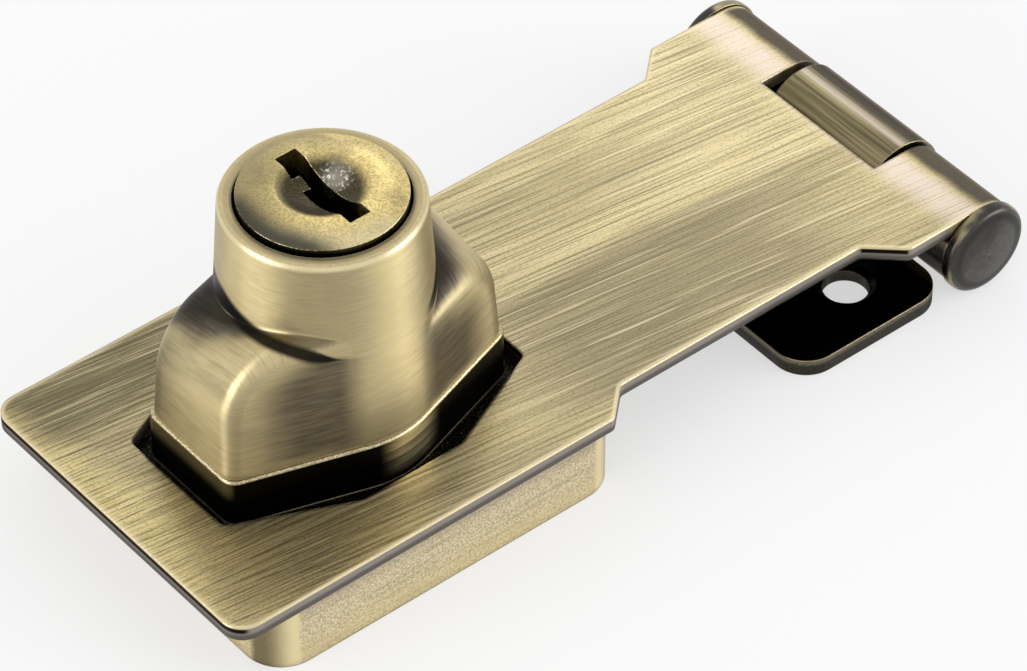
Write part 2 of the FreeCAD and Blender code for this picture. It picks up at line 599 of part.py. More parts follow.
def make_base():
    """Cast base: a block with the boss that the strap's slot drops over, bored for the knob."""
    body = new_body("base_casting")
    plan = new_sketch(body, "base_plan")
    half_length = size["base_length"] / 2
    half_width = size["base_width"] / 2
    rectangle(plan, -half_length, half_length, -half_width, half_width)
    block = pad(body, "base_block", plan, base_top)
    block = round_edges(body, "base_corners", block, size["base_corner"], is_upright)
    round_edges(body, "base_top_edge", block, size["base_edge"],
                lambda edge: lies_at(edge, base_top))
    boss_plan = new_sketch(body, "boss_plan", lift=base_top)
    lozenge(boss_plan, size["boss_half_length"], size["boss_end_half_width"],
            size["boss_round_radius"])
    boss = pad(body, "boss", boss_plan, boss_top - base_top)
    boss = round_edges(body, "boss_corners", boss, size["boss_corner"],
                       lambda edge: is_upright(edge) and edge.CenterOfMass.z > base_top.value
                       and abs(edge.CenterOfMass.x) > size["boss_round_radius"].value)
    round_edges(body, "boss_top_edge", boss, size["boss_edge"],
                lambda edge: lies_at(edge, boss_top))
    bore = new_sketch(body, "knob_bore_plan", lift=boss_top)
    add_circle(bore, size["spigot_radius"] + size["spigot_play"])
    cut(body, "knob_bore", bore, boss_top)
    recess = new_sketch(body, "ring_recess_plan")
    add_circle(recess, size["recess_radius"])
    cut(body, "ring_recess", recess, size["recess_depth"], upwards=True)
    screws = new_sketch(body, "base_screws_plan", lift=base_top)
    strip_start = size["boss_end_half_width"] + size["boss_flank_rise"]
    strip_end = half_width - size["base_edge"]
    screw_y = (strip_start + strip_end) / 2
    screw_head = (strip_end - strip_start) / 2 - size["countersink_margin"]
    screw_x = half_length - size["base_edge"] - size["countersink_end_margin"] - screw_head
    for along in (1, -1):
        for across in (1, -1):
            add_circle(screws, size["base_screw_radius"], screw_x * along, screw_y * across)
    drilled = cut(body, "base_screw_holes", screws, base_top)
    bevel_edges(body, "base_countersinks", drilled, screw_head - size["base_screw_radius"],
                lambda edge: lies_at(edge, base_top)
                and is_circle(edge, size["base_screw_radius"]))

    # Notches for the locking bolt, at both ends of the knob's turn.
    reach = bolt_nose + size["bolt_travel"] + size["notch_play"]
    side = size["bolt_width"] / 2 + size["notch_play"]
    height = bolt_top + size["notch_play"] - size["recess_depth"]
    released = new_sketch(body, "released_notch_plan", lift=size["recess_depth"])
    rectangle(released, ZERO, reach, -side, side)
    cut(body, "released_notch", released, height, upwards=True)
    secured = new_sketch(body, "secured_notch_plan", lift=size["recess_depth"])
    rectangle(secured, -side, side, -reach, ZERO)
    cut(body, "secured_notch", secured, height, upwards=True)

    # Curved groove in which the knob's stop peg runs.
    width = size["stop_peg_radius"] + size["stop_play"]
    middle = size["stop_track_radius"]
    first = as_size(90) - size["knob_turn"] / 2
    last = as_size(90) + size["knob_turn"] / 2
    groove = new_sketch(body, "stop_groove_plan", lift=boss_top)
    outline(groove, [around(first, middle + width), around(last, middle + width),
                     around(last, middle - width), around(first, middle - width)],
            {0: ((ZERO, ZERO), middle + width, True), 1: (around(last, middle), width, True),
             2: ((ZERO, ZERO), middle - width, False), 3: (around(first, middle), width, True)})
    cut(body, "stop_groove", groove, size["stop_peg_length"] + size["stop_play"])
    return body


def add_wing(body, side, round_radius):
    """One wing of the knob: its flanks would touch a circle of round_radius round the axis. Its top
    falls across it, and each wing is the other turned by half a turn."""
    name = "left_wing" if side < 0 else "right_wing"
    tip = size["boss_half_length"] - size["knob_inset"]
    tip_half = size["boss_end_half_width"] - size["wing_tip_inset"]
    diagonal = tip * tip + tip_half * tip_half
    run = root(diagonal - round_radius * round_radius)
    root_x = (round_radius * tip - run * tip_half) * round_radius / diagonal
    root_half = (round_radius * tip_half + run * tip) * round_radius / diagonal
    plan = new_sketch(body, f"{name}_plan", lift=knob_foot)
    outline(plan, [(root_x * side, -root_half), (tip * side, -tip_half), (tip * side, tip_half),
                   (root_x * side, root_half)])
    slope = sine(size["wing_slope"]) / cosine(size["wing_slope"])
    rise = slope * tip
    blank = pad(body, f"{name}_blank", plan, size["wing_height"] + rise, draft=size["knob_draft"])
    middle_top = knob_foot + size["wing_height"]
    above = middle_top + rise * BEYOND
    low, high = middle_top - rise, middle_top + rise
    fall = new_sketch(body, f"{name}_top_side", "YZ_Plane")
    outline(fall, [(-tip, low if side > 0 else high), (tip, high if side > 0 else low),
                   (tip, above), (-tip, above)])
    sloped = cut(body, f"{name}_top", fall, tip, upwards=side > 0)

    def at_tip(edge):
        return edge.CenterOfMass.x * side > round_radius.value

    rounded = round_edges(body, f"{name}_shoulder", sloped, size["wing_shoulder"],
                          lambda edge: at_tip(edge) and not is_upright(edge)
                          and edge.CenterOfMass.z > knob_foot.value + size["wing_height"].value / 2)
    rounded = round_edges(body, f"{name}_high_edge", rounded, size["wing_edge"],
                          lambda edge: at_tip(edge) and is_upright(edge)
                          and edge.CenterOfMass.y * side > 0)
    round_edges(body, f"{name}_low_edge", rounded, size["wing_low_edge"],
                lambda edge: at_tip(edge) and is_upright(edge) and edge.CenterOfMass.y * side < 0)


def make_knob():
    """Cast knob: a tapered round grip with two wings, and a spigot that passes through the base."""
    body = new_body("knob_body")
    body.AllowCompound = True
    wing_middle = size["boss_round_radius"] - size["knob_inset"]
    for side in (-1, 1):
        add_wing(body, side, wing_middle)
    foot_radius = wing_middle + size["knob_round_excess"]
    draft = size["knob_draft"]
    top_radius = foot_radius - (knob_top - knob_foot) * sine(draft) / cosine(draft)
    turned = new_sketch(body, "knob_half", "XZ_Plane")
    outline(turned, [(ZERO, size["spigot_foot"]), (size["spigot_radius"], size["spigot_foot"]),
                     (size["spigot_radius"], knob_foot), (foot_radius, knob_foot),
                     (top_radius, knob_top), (ZERO, knob_top)])
    grip = turn(body, "knob_grip", turned)
    round_edges(body, "knob_rim", grip, size["rim_round"],
                lambda edge: lies_at(edge, knob_top))

    head_bore = size["head_radius"] + size["head_gap"]
    inside = new_sketch(body, "knob_bores_half", "XZ_Plane")
    tail_hole = size["tail_radius"] + size["tail_play"]
    outline(inside, [(ZERO, size["spigot_foot"]), (size["spigot_bore"], size["spigot_foot"]),
                     (size["spigot_bore"], spigot_roof), (tail_hole, spigot_roof),
                     (tail_hole, plug_bore_floor), (plug_bore, plug_bore_floor),
                     (plug_bore, head_seat), (head_bore, head_seat),
                     (head_bore, knob_top), (ZERO, knob_top)])
    turn(body, "knob_bores", inside, "PartDesign::Groove")
    groove_floor = size["spigot_radius"] - size["groove_depth"]
    groove = new_sketch(body, "ring_groove_half", "XZ_Plane")
    rectangle(groove, groove_floor, size["spigot_radius"] * BEYOND,
              ring_bottom - size["stack_play"], ring_top + size["fixed_gap"])
    turn(body, "ring_groove", groove, "PartDesign::Groove")

    # Channels in the plug's bore that the wafers enter, for both positions of the plug.
    side = size["wafer_half_width"] + size["channel_side_play"]
    reach = wafer_end + size["wafer_travel"] + size["channel_end_play"]
    channel_top = head_seat - size["wafer_pitch"] / 2
    channel_height = channel_top - wafer_slot_floor + size["wafer_pitch"] / 2
    far_channel = new_sketch(body, "far_channel_plan", lift=channel_top)
    rectangle(far_channel, -side, side, ZERO, reach)
    cut(body, "far_channel", far_channel, channel_height)
    side_channel = new_sketch(body, "side_channel_plan", lift=channel_top)
    rectangle(side_channel, ZERO, reach, -side, side)
    cut(body, "side_channel", side_channel, channel_height)

    bolt_side = size["bolt_width"] / 2 + size["bolt_play"]
    window = new_sketch(body, "bolt_window_plan", lift=channel_floor)
    rectangle(window, ZERO, size["spigot_radius"] * BEYOND, -bolt_side, bolt_side)
    cut(body, "bolt_window", window, cam_bottom - channel_floor, upwards=True)

    start = as_size(90) + size["knob_turn"] / 2
    peg = new_sketch(body, "stop_peg_plan", lift=knob_foot)
    add_circle(peg, size["stop_peg_radius"], *around(start, size["stop_track_radius"]))
    pad(body, "stop_peg", peg, size["stop_peg_length"], downwards=True)
    return body


def make_plug():
    """Lock plug: a round face with a dimple, a slotted barrel and a flatted tail for the cam."""
    body = new_body("lock_plug")
    face_edge = knob_top + size["head_stand"]
    crown = face_edge + size["crown_rise"]
    fall = size["crown_rise"]
    run = size["head_radius"] - size["crown_radius"]
    crown_arc = (run * run + fall * fall) / (fall * 2)
    dimple_floor = crown - size["dimple_depth"]
    bowl = (size["dimple_radius"] * size["dimple_radius"]
            + size["dimple_depth"] * size["dimple_depth"]) / (size["dimple_depth"] * 2)
    half = new_sketch(body, "plug_half", "XZ_Plane")
    outline(half, [(ZERO, plug_foot), (size["plug_radius"], plug_foot),
                   (size["plug_radius"], head_seat), (size["head_radius"], head_seat),
                   (size["head_radius"], face_edge), (size["crown_radius"], crown),
                   (size["dimple_radius"], crown), (ZERO, dimple_floor)],
            {4: ((size["crown_radius"], crown - crown_arc), crown_arc, True),
             6: ((ZERO, dimple_floor + bowl), bowl, False)})
    turned = turn(body, "plug_turned", half)
    round_edges(body, "plug_dimple_lip", turned, size["dimple_lip"],
                lambda edge: is_circle(edge, size["dimple_radius"]))
    tail_height = plug_foot - cam_bottom
    tail = new_sketch(body, "tail_plan", lift=plug_foot)
    flatted_circle(tail, size["tail_radius"], size["tail_flat"])
    pad(body, "plug_tail", tail, tail_height, downwards=True)
    screw_hole = new_sketch(body, "tail_hole_plan", lift=cam_bottom)
    add_circle(screw_hole, size["screw_shank_radius"] + size["fixed_gap"])
    cut(body, "tail_hole", screw_hole, size["screw_length"] + size["tail_play"], upwards=True)

    half_length = size["keyway_length"] / 2
    half_width = size["keyway_width"] / 2
    ward_end = size["ward_start"] + size["ward_length"]
    ward_side = size["ward_width"] - half_width
    keyway = new_sketch(body, "keyway_plan", lift=crown)
    outline(keyway, [(-half_width, -half_length), (half_width, -half_length),
                     (half_width, half_length), (-half_width, half_length),
                     (-half_width, ward_end), (ward_side, ward_end),
                     (ward_side, size["ward_start"]), (-half_width, size["ward_start"])])
    cut(body, "keyway", keyway, size["keyway_depth"] + crown - knob_top)

    play = size["wafer_play"]
    side = size["wafer_half_width"] + play
    ear_top = size["ear_start"] + size["ear_length"] + size["wafer_travel"] + play
    spring_end = size["ear_start"] - size["spring_length"] - size["spring_gap"] * 2
    beyond = size["plug_radius"] * BEYOND
    wafer_slot = new_sketch(body, "wafer_slot_plan", lift=wafer_slot_floor)
    outline(wafer_slot, [(-side, -beyond), (side, -beyond), (side, spring_end),
                         (ear_side + play, spring_end), (ear_side + play, ear_top),
                         (side, ear_top), (side, beyond), (-side, beyond)])
    first_slot = cut(body, "wafer_slot", wafer_slot, size["wafer_thickness"] + play * 2,
                     upwards=True)
    pattern = body.newObject("PartDesign::LinearPattern", "wafer_slots")
    pattern.Originals = [first_slot]
    pattern.Direction = (wafer_slot, ["N_Axis"])
    bind(pattern, "Length", size["wafer_pitch"] * (len(KEY_CUTS) - 1))
    pattern.Occurrences = len(KEY_CUTS)
    body.Tip = pattern
    doc.recompute()
    return body


def flatted_circle(sketch, radius, flat):
    """Circle with two straight flats across Y."""
    half_chord = root(radius * radius - flat * flat)
    outline(sketch, [(half_chord, -flat), (half_chord, flat), (-half_chord, flat),
                     (-half_chord, -flat)],
            {0: ((ZERO, ZERO), radius, True), 2: ((ZERO, ZERO), radius, True)})
    return sketch


def wafer_floor(number):
    return wafer_slot_floor + size["wafer_pitch"] * (number - 1) + size["wafer_play"]


def make_wafer(number):
    """Wafer: a stamped plate with round ends, a window for the key and an ear for its spring."""
    body = new_body(f"wafer_{number}")
    side = size["wafer_half_width"]
    end = root(wafer_end * wafer_end - side * side)
    ear_bottom = size["ear_start"]
    ear_top = ear_bottom + size["ear_length"]
    plan = new_sketch(body, f"wafer_{number}_plan", lift=wafer_floor(number))
    outline(plan, [(side, -end), (side, ear_bottom), (ear_side, ear_bottom), (ear_side, ear_top),
                   (side, ear_top), (side, end), (-side, end), (-side, -end)],
            {5: ((ZERO, ZERO), wafer_end, True), 7: ((ZERO, ZERO), wafer_end, True)})
    pad(body, f"wafer_{number}_plate", plan, size["wafer_thickness"])
    off_centre = size[f"key_cut_{number}"]
    half_length = size["window_length"] / 2
    half_breadth = size["window_breadth"] / 2
    window = new_sketch(body, f"wafer_{number}_window_plan", lift=wafer_floor(number))
    rectangle(window, -half_breadth, half_breadth, off_centre - half_length,
              off_centre + half_length)
    cut(body, f"wafer_{number}_window", window, size["wafer_thickness"], upwards=True)
    return body


def make_spring(number):
    """Wafer spring: a small open coil beside the wafer, pressed between the plug and the ear."""
    body = new_body(f"wafer_spring_{number}")
    middle = wafer_floor(number) + size["wafer_thickness"] / 2
    axis_x = size["wafer_half_width"] + size["ear_width"] / 2
    foot = size["ear_start"] - size["spring_length"] - size["spring_gap"] + size["spring_wire"]
    section = new_sketch(body, f"wafer_spring_{number}_wire", right=axis_x, up=foot, lift=middle)
    add_circle(section, size["spring_wire"], size["spring_radius"])
    coil = body.newObject("PartDesign::AdditiveHelix", f"wafer_spring_{number}_coil")
    coil.Profile = section
    coil.ReferenceAxis = (section, ["V_Axis"])
    coil.Mode = "height-turns-angle"
    bind(coil, "Height", size["spring_length"] - size["spring_wire"] * 2)
    bind(coil, "Turns", size["spring_turns"])
    doc.recompute()
    return body


def make_cam_plate():
    """Cam plate: a disc on the plug's tail whose curved slot draws the bolt in and out."""
    body = new_body("cam_plate")
    plan = new_sketch(body, "cam_disc_plan", lift=cam_bottom)
    add_circle(plan, size["cam_radius"])
    pad(body, "cam_disc", plan, size["cam_thickness"])
    hole = new_sketch(body, "cam_hole_plan", lift=cam_bottom)
    flatted_circle(hole, size["tail_radius"] + size["fixed_gap"],
                   size["tail_flat"] + size["fixed_gap"])
    cut(body, "cam_hole", hole, size["cam_thickness"], upwards=True)

    # The slot's middle line is the circle through the drive pin's places at no, half and a whole
    # quarter turn of the plug.
    near = size["cam_start"]
    far = near + size["bolt_travel"]
    half_way = (near + far) / 2
    diagonal = half_way / root(as_size(2))
    step = far * far - near * near
    centre_x = (near * near - half_way * half_way + diagonal * step / far) / (
        (near - diagonal - diagonal * near / far) * 2)
    centre_y = (step + near * centre_x * 2) / (far * 2)
    track = root((near - centre_x) * (near - centre_x) + centre_y * centre_y)
    width = size["drive_pin_radius"] + size["drive_pin_play"]
    share = width / track
    first = ((near - centre_x) * share, -centre_y * share)
    last = (-centre_x * share, (far - centre_y) * share)
    slot = new_sketch(body, "cam_slot_plan", lift=cam_bottom)
    outline(slot, [(near + first[0], first[1]), (last[0], far + last[1]),
                   (-last[0], far - last[1]), (near - first[0], -first[1])],
            {0: ((centre_x, centre_y), track + width, True), 1: ((ZERO, far), width, True),
             2: ((centre_x, centre_y), track - width, False), 3: ((near, ZERO), width, True)})
    cut(body, "cam_slot", slot, size["cam_thickness"], upwards=True)
    return body


def make_cam_screw():
    """Screw that holds the cam plate on the plug's tail."""
    body = new_body("cam_screw")
    head_top = cam_bottom
    head_bottom = head_top - size["screw_head_height"]
    shank_top = head_top + size["screw_length"]
    half = new_sketch(body, "cam_screw_half", "XZ_Plane")
    outline(half, [(ZERO, head_bottom), (size["screw_head_radius"], head_bottom),
                   (size["screw_head_radius"], head_top), (size["screw_shank_radius"], head_top),
                   (size["screw_shank_radius"], shank_top), (ZERO, shank_top)])
    turn(body, "cam_screw_turned", half)
    half_slot = size["screw_slot"] / 2
    slot = new_sketch(body, "cam_screw_slot_plan", lift=head_bottom)
    past_head = size["screw_head_radius"] * BEYOND
    rectangle(slot, -past_head, past_head, -half_slot, half_slot)
    cut(body, "cam_screw_slot", slot, size["screw_slot"], upwards=True)
    return body


def make_bolt():
    """Locking bolt: a sliding bar with an upright drive pin."""
    body = new_body("locking_bolt")
    half_width = size["bolt_width"] / 2
    plan = new_sketch(body, "bolt_plan", lift=bolt_bottom)
    shoulder = root(bolt_nose * bolt_nose - half_width * half_width)
    outline(plan, [(size["bolt_tail"], -half_width), (shoulder, -half_width),
                   (shoulder, half_width), (size["bolt_tail"], half_width)],
            {1: ((ZERO, ZERO), bolt_nose, True)})
    pad(body, "bolt_bar", plan, size["bolt_thickness"])
    pin = new_sketch(body, "drive_pin_plan", lift=bolt_top)
    add_circle(pin, size["drive_pin_radius"], size["cam_start"])
    pad(body, "drive_pin", pin, cam_top - bolt_top - size["drive_pin_play"])
    return body


def make_bolt_guide():
    """Guide disc that closes the spigot's end, with the channel that the bolt slides in."""
    body = new_body("bolt_guide")
    plan = new_sketch(body, "guide_plan", lift=size["spigot_foot"])
    add_circle(plan, size["spigot_bore"] - size["fixed_gap"])
    pad(body, "guide_disc", plan, bolt_top - size["spigot_foot"])
    side = size["bolt_width"] / 2 + size["bolt_play"]
    channel = new_sketch(body, "guide_channel_plan", lift=bolt_top)
    rectangle(channel, size["bolt_tail"] - size["bolt_play"], size["spigot_bore"] * BEYOND,
              -side, side)
    cut(body, "guide_channel", channel, bolt_top - channel_floor)
    well = new_sketch(body, "screw_well_plan", lift=bolt_top)
    add_circle(well, size["screw_head_radius"] + size["notch_play"])
    cut(body, "screw_well", well, size["screw_head_height"])
    return body


def make_retaining_ring():
    """Open ring that snaps into the spigot's groove."""
    body = new_body("retaining_ring")
    inner = size["spigot_radius"] - size["groove_depth"] + size["stack_play"]
    outer = size["ring_outer"]
    first = as_size(180) + size["ring_opening"] / 2
    last = as_size(180) - size["ring_opening"] / 2
    plan = new_sketch(body, "ring_plan", lift=ring_bottom)
    outline(plan, [around(first, outer), around(last, outer), around(last, inner),
                   around(first, inner)],
            {0: ((ZERO, ZERO), outer, True), 2: ((ZERO, ZERO), inner, False)})
    pad(body, "ring_plate", plan, size["ring_thickness"])
    return body


def make_thrust_washer():
    """Flat washer between the ring and the base."""
    body = new_body("thrust_washer")
    plan = new_sketch(body, "washer_plan", lift=washer_bottom)
    add_circle(plan, size["washer_outer"])
    add_circle(plan, size["spigot_radius"] + size["washer_play"])
    pad(body, "washer_plate", plan, size["washer_thickness"])
    return body


def make_all():
    pieces = [make_strap(), make_leaf(), make_hinge_pin(), make_base(), make_knob(), make_plug(),
              make_cam_plate(), make_cam_screw(), make_bolt(), make_bolt_guide(),
              make_retaining_ring(), make_thrust_washer()]
    for number in range(1, len(KEY_CUTS) + 1):
        pieces.append(make_wafer(number))
        pieces.append(make_spring(number))
    return pieces


def check(pieces):
    """Stop if any feature failed or any piece is not one valid solid."""
    for item in doc.Objects:
        if "Invalid" in item.State or "Error" in item.State:
            raise RuntimeError(f"{item.Name} failed: {item.State}")
    for piece in pieces:
        shape = piece.Shape
        if shape.isNull() or not shape.isValid() or len(shape.Solids) != 1:
            raise RuntimeError(f"{piece.Label} is not one valid solid")


pieces = make_all()
doc.recompute()
check(pieces)
os.makedirs("parts", exist_ok=True)
for piece in pieces:
    piece.Shape.exportStep(f"parts/{piece.Label}.step")
print(f"{len(pieces)} pieces written")
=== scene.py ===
import math

import bpy
from mathutils import Matrix, Vector


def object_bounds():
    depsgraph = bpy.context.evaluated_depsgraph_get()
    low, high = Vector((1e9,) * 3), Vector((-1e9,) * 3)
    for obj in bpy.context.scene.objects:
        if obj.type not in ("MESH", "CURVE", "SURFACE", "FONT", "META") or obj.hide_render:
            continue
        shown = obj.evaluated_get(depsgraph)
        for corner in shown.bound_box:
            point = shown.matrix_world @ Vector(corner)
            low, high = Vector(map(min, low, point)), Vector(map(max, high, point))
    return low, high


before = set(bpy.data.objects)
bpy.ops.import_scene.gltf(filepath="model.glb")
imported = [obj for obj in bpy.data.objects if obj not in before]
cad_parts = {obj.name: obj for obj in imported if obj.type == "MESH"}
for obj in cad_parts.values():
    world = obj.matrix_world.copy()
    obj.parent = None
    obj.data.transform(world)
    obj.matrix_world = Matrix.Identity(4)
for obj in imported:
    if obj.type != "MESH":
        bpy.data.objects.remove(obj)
cad_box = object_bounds()

MM = 0.001

# Places and sizes of the solids that the finishes follow. X and Y start at the knob's axis and Z
# at the mounting surface.
FREE_END = -21.2 * MM
FLAT_END = 53.0 * MM
HINGE_X = 54.8 * MM
HINGE_Z = 4.15 * MM
BASE_TOP = 6.7 * MM
STRAP_TOP = 8.05 * MM
BOSS_TOP = 11.2 * MM
KNOB_FOOT = 11.3 * MM
WING_TOP = 21.7 * MM
KNOB_TOP = 29.35 * MM
GRIP_RADIUS = 9.25 * MM
PLUG_RADIUS = 6.7 * MM
PIN_HEAD_RADIUS = 4.1 * MM
WING_SLOPE = math.tan(math.radians(11.0))
KNOB_TAPER = math.tan(math.radians(3.6))

# Turn of the strap's brush strokes off its length, in degrees.
BRUSHING = 7.0
# Middle of a noise's range.
MIDDLE = 0.5
EDGE_SAMPLES = 8
# Sockets of a Mix node that mixes colours.
FACTOR, COLOUR_A, COLOUR_B, MIXED = 0, 6, 7, 2


def tone(red, green, blue):
    """Linear colour from a screen colour of 0 to 255 a channel."""
    linear = []
    for level in (red, green, blue):
        level /= 255
        linear.append(level / 12.92 if level <= 0.04045 else ((level + 0.055) / 1.055) ** 2.4)
    return (*linear, 1.0)


BRASS = tone(186, 172, 130)
BRIGHT = tone(232, 215, 168)
STREAK = tone(98, 90, 70)
OLIVE = tone(98, 91, 72)
# The three darkest tones give patina together with painted shade in corners, gaps, hollows and
# under parts.
PATINA_AND_SHADE = tone(44, 40, 34)
DARK_PATINA_AND_SHADE = tone(34, 31, 27)
NEAR_BLACK = tone(17, 15, 12)
WHITE = (1, 1, 1, 1)


class Finish:
    """A material and the nodes that make its surface."""

    def __init__(self, name, anisotropy=0.0):
        self.material = bpy.data.materials.new(name)
        self.material.use_nodes = True
        self.nodes = self.material.node_tree.nodes
        self.links = self.material.node_tree.links
        self.nodes.clear()
        output = self.nodes.new("ShaderNodeOutputMaterial")
        self.shader = self.nodes.new("ShaderNodeBsdfPrincipled")
        self.shader.inputs["Metallic"].default_value = 1.0
        self.shader.inputs["Anisotropic"].default_value = anisotropy
        self.links.new(self.shader.outputs["BSDF"], output.inputs["Surface"])
        self.place = self.nodes.new("ShaderNodeTexCoord").outputs["Object"]
        self.normal = self.nodes.new("ShaderNodeNewGeometry").outputs["Normal"]
        self.x, self.y, self.z = self.split(self.place)
        self.nx, self.ny, self.nz = self.split(self.normal)

    def feed(self, value, socket):
        if isinstance(value, bpy.types.NodeSocket):
            self.links.new(value, socket)
        else:
            socket.default_value = value

    def math(self, operation, first, second=0.0):
        node = self.nodes.new("ShaderNodeMath")
        node.operation = operation
        self.feed(first, node.inputs[0])
        self.feed(second, node.inputs[1])
        return node.outputs[0]

    def plus(self, first, second):
        return self.math("ADD", first, second)

    def minus(self, first, second):
        return self.math("SUBTRACT", first, second)

    def times(self, first, *others):
        for other in others:
            first = self.math("MULTIPLY", first, other)
        return first

    def most(self, first, second):
        return self.math("MAXIMUM", first, second)

    def size(self, value):
        return self.math("ABSOLUTE", value)

    def length(self, first, second):
        return self.math("SQRT", self.plus(self.times(first, first), self.times(second, second)))

    def lean(self, x_share, y_share):
        """Distance along a level direction."""
        return self.plus(self.times(self.x, x_share), self.times(self.y, y_share))

    def step(self, value, low, high):
        """0 below low, 1 above high, smooth between. Falls instead where low is above high."""
        node = self.nodes.new("ShaderNodeMapRange")
        node.interpolation_type = "SMOOTHSTEP"
        self.feed(value, node.inputs["Value"])
        if low < high:
            bounds = (low, high, 0.0, 1.0)
        else:
            bounds = (high, low, 1.0, 0.0)
        for socket, bound in zip(("From Min", "From Max", "To Min", "To Max"), bounds):
            node.inputs[socket].default_value = bound
        return node.outputs["Result"]

    def band(self, value, start, full, fading, end):
        """1 from full to fading, and 0 before start and after end."""
        return self.times(self.step(value, start, full), self.step(value, end, fading))

    def split(self, vector):
        node = self.nodes.new("ShaderNodeSeparateXYZ")
        self.links.new(vector, node.inputs[0])
        return node.outputs["X"], node.outputs["Y"], node.outputs["Z"]

    def noise(self, scale, turn=0.0, detail=3.0, roughness=0.55, shift=0.0):
        """Noise of scale cycles per metre along each axis, turned by turn degrees about Z.

        One number scales all three axes. The shift moves the noise across by that many cycles.
        """
        if isinstance(scale, float):
            scale = (scale, scale, scale)
        turned = self.nodes.new("ShaderNodeMapping")
        turned.inputs["Rotation"].default_value = (0, 0, math.radians(turn))
        self.links.new(self.place, turned.inputs["Vector"])
        scaled = self.nodes.new("ShaderNodeMapping")
        scaled.inputs["Scale"].default_value = scale
        scaled.inputs["Location"].default_value = (0, shift, 0)
        self.links.new(turned.outputs["Vector"], scaled.inputs["Vector"])
        node = self.nodes.new("ShaderNodeTexNoise")
        self.links.new(scaled.outputs["Vector"], node.inputs["Vector"])
        node.inputs["Scale"].default_value = 1.0
        node.inputs["Detail"].default_value = detail
        node.inputs["Roughness"].default_value = roughness
        return node.outputs["Fac"]

    def hairs(self, along, across, turn):
        """Fine even brush strokes: noise less its own copy half a cycle aside."""
        scale = (along, across, along)
        there = self.noise(scale, turn, detail=1.0)
        aside = self.noise(scale, turn, detail=1.0, shift=0.5)
        return self.plus(self.minus(there, aside), MIDDLE)

    def wander(self, noise, reach):
        """Distance that the noise moves to and fro, over the reach."""
        return self.times(self.plus(noise, -MIDDLE), reach)

    def mix(self, share, first, second):
        node = self.nodes.new("ShaderNodeMix")
        node.data_type = "RGBA"
        self.feed(share, node.inputs[FACTOR])
        self.feed(first, node.inputs[COLOUR_A])
        self.feed(second, node.inputs[COLOUR_B])
        return node.outputs[MIXED]

    def cover(self, colour, coat, *masks, strength=1.0):
        """Lay the coat over the colour by the product of the masks and the strength."""
        share = self.times(*masks)
        if strength != 1.0:
            share = self.times(share, strength)
        return self.mix(share, colour, coat)

    def crevice(self, reach, low, high):
        """1 deep in corners, 0 in the open."""
        node = self.nodes.new("ShaderNodeAmbientOcclusion")
        node.samples = EDGE_SAMPLES
        node.inputs["Distance"].default_value = reach
        return self.step(node.outputs["AO"], high, low)

    def rounded(self, radius):
        """The normal that rounds edges by the radius."""
        node = self.nodes.new("ShaderNodeBevel")
        node.samples = EDGE_SAMPLES
        node.inputs["Radius"].default_value = radius
        return node.outputs["Normal"]

    def edge_band(self, rounded, low, high):
        """1 on the edges that the rounded normal rounds, 0 away from them."""
        dot = self.nodes.new("ShaderNodeVectorMath")
        dot.operation = "DOT_PRODUCT"
        self.links.new(rounded, dot.inputs[0])
        self.links.new(self.normal, dot.inputs[1])
        return self.step(dot.outputs["Value"], high, low)

    def brushed_along(self, direction):
        """Spread the gloss across brush strokes that run along the direction."""
        node = self.nodes.new("ShaderNodeVectorMath")
        node.operation = "CROSS_PRODUCT"
        self.links.new(self.normal, node.inputs[0])
        node.inputs[1].default_value = direction
        self.links.new(node.outputs["Vector"], self.shader.inputs["Tangent"])

    def brushed_round(self):
        """Spread the gloss up and down, across brush strokes that run round the Z axis."""
        node = self.nodes.new("ShaderNodeCombineXYZ")
        node.inputs["X"].default_value = 0.02
        node.inputs["Z"].default_value = 1.0
        self.links.new(node.outputs["Vector"], self.shader.inputs["Tangent"])

    def low_view(self, low, high):
        """0 seen from above, 1 seen low over the surface."""
        facing = self.nodes.new("ShaderNodeLayerWeight").outputs["Facing"]
        return self.step(facing, low, high)

    def gloss(self, grain, swing, base):
        """Roughness that the grain raises from the base by up to the swing."""
        self.feed(self.plus(self.times(grain, swing), base), self.shader.inputs["Roughness"])

    def bump(self, height, distance, strength, normal):
        node = self.nodes.new("ShaderNodeBump")
        node.inputs["Strength"].default_value = strength
        node.inputs["Distance"].default_value = distance
        self.links.new(height, node.inputs["Height"])
        self.links.new(normal, node.inputs["Normal"])
        self.links.new(node.outputs["Normal"], self.shader.inputs["Normal"])

    def done(self, colour):
        self.feed(colour, self.shader.inputs["Base Color"])
        return self.material


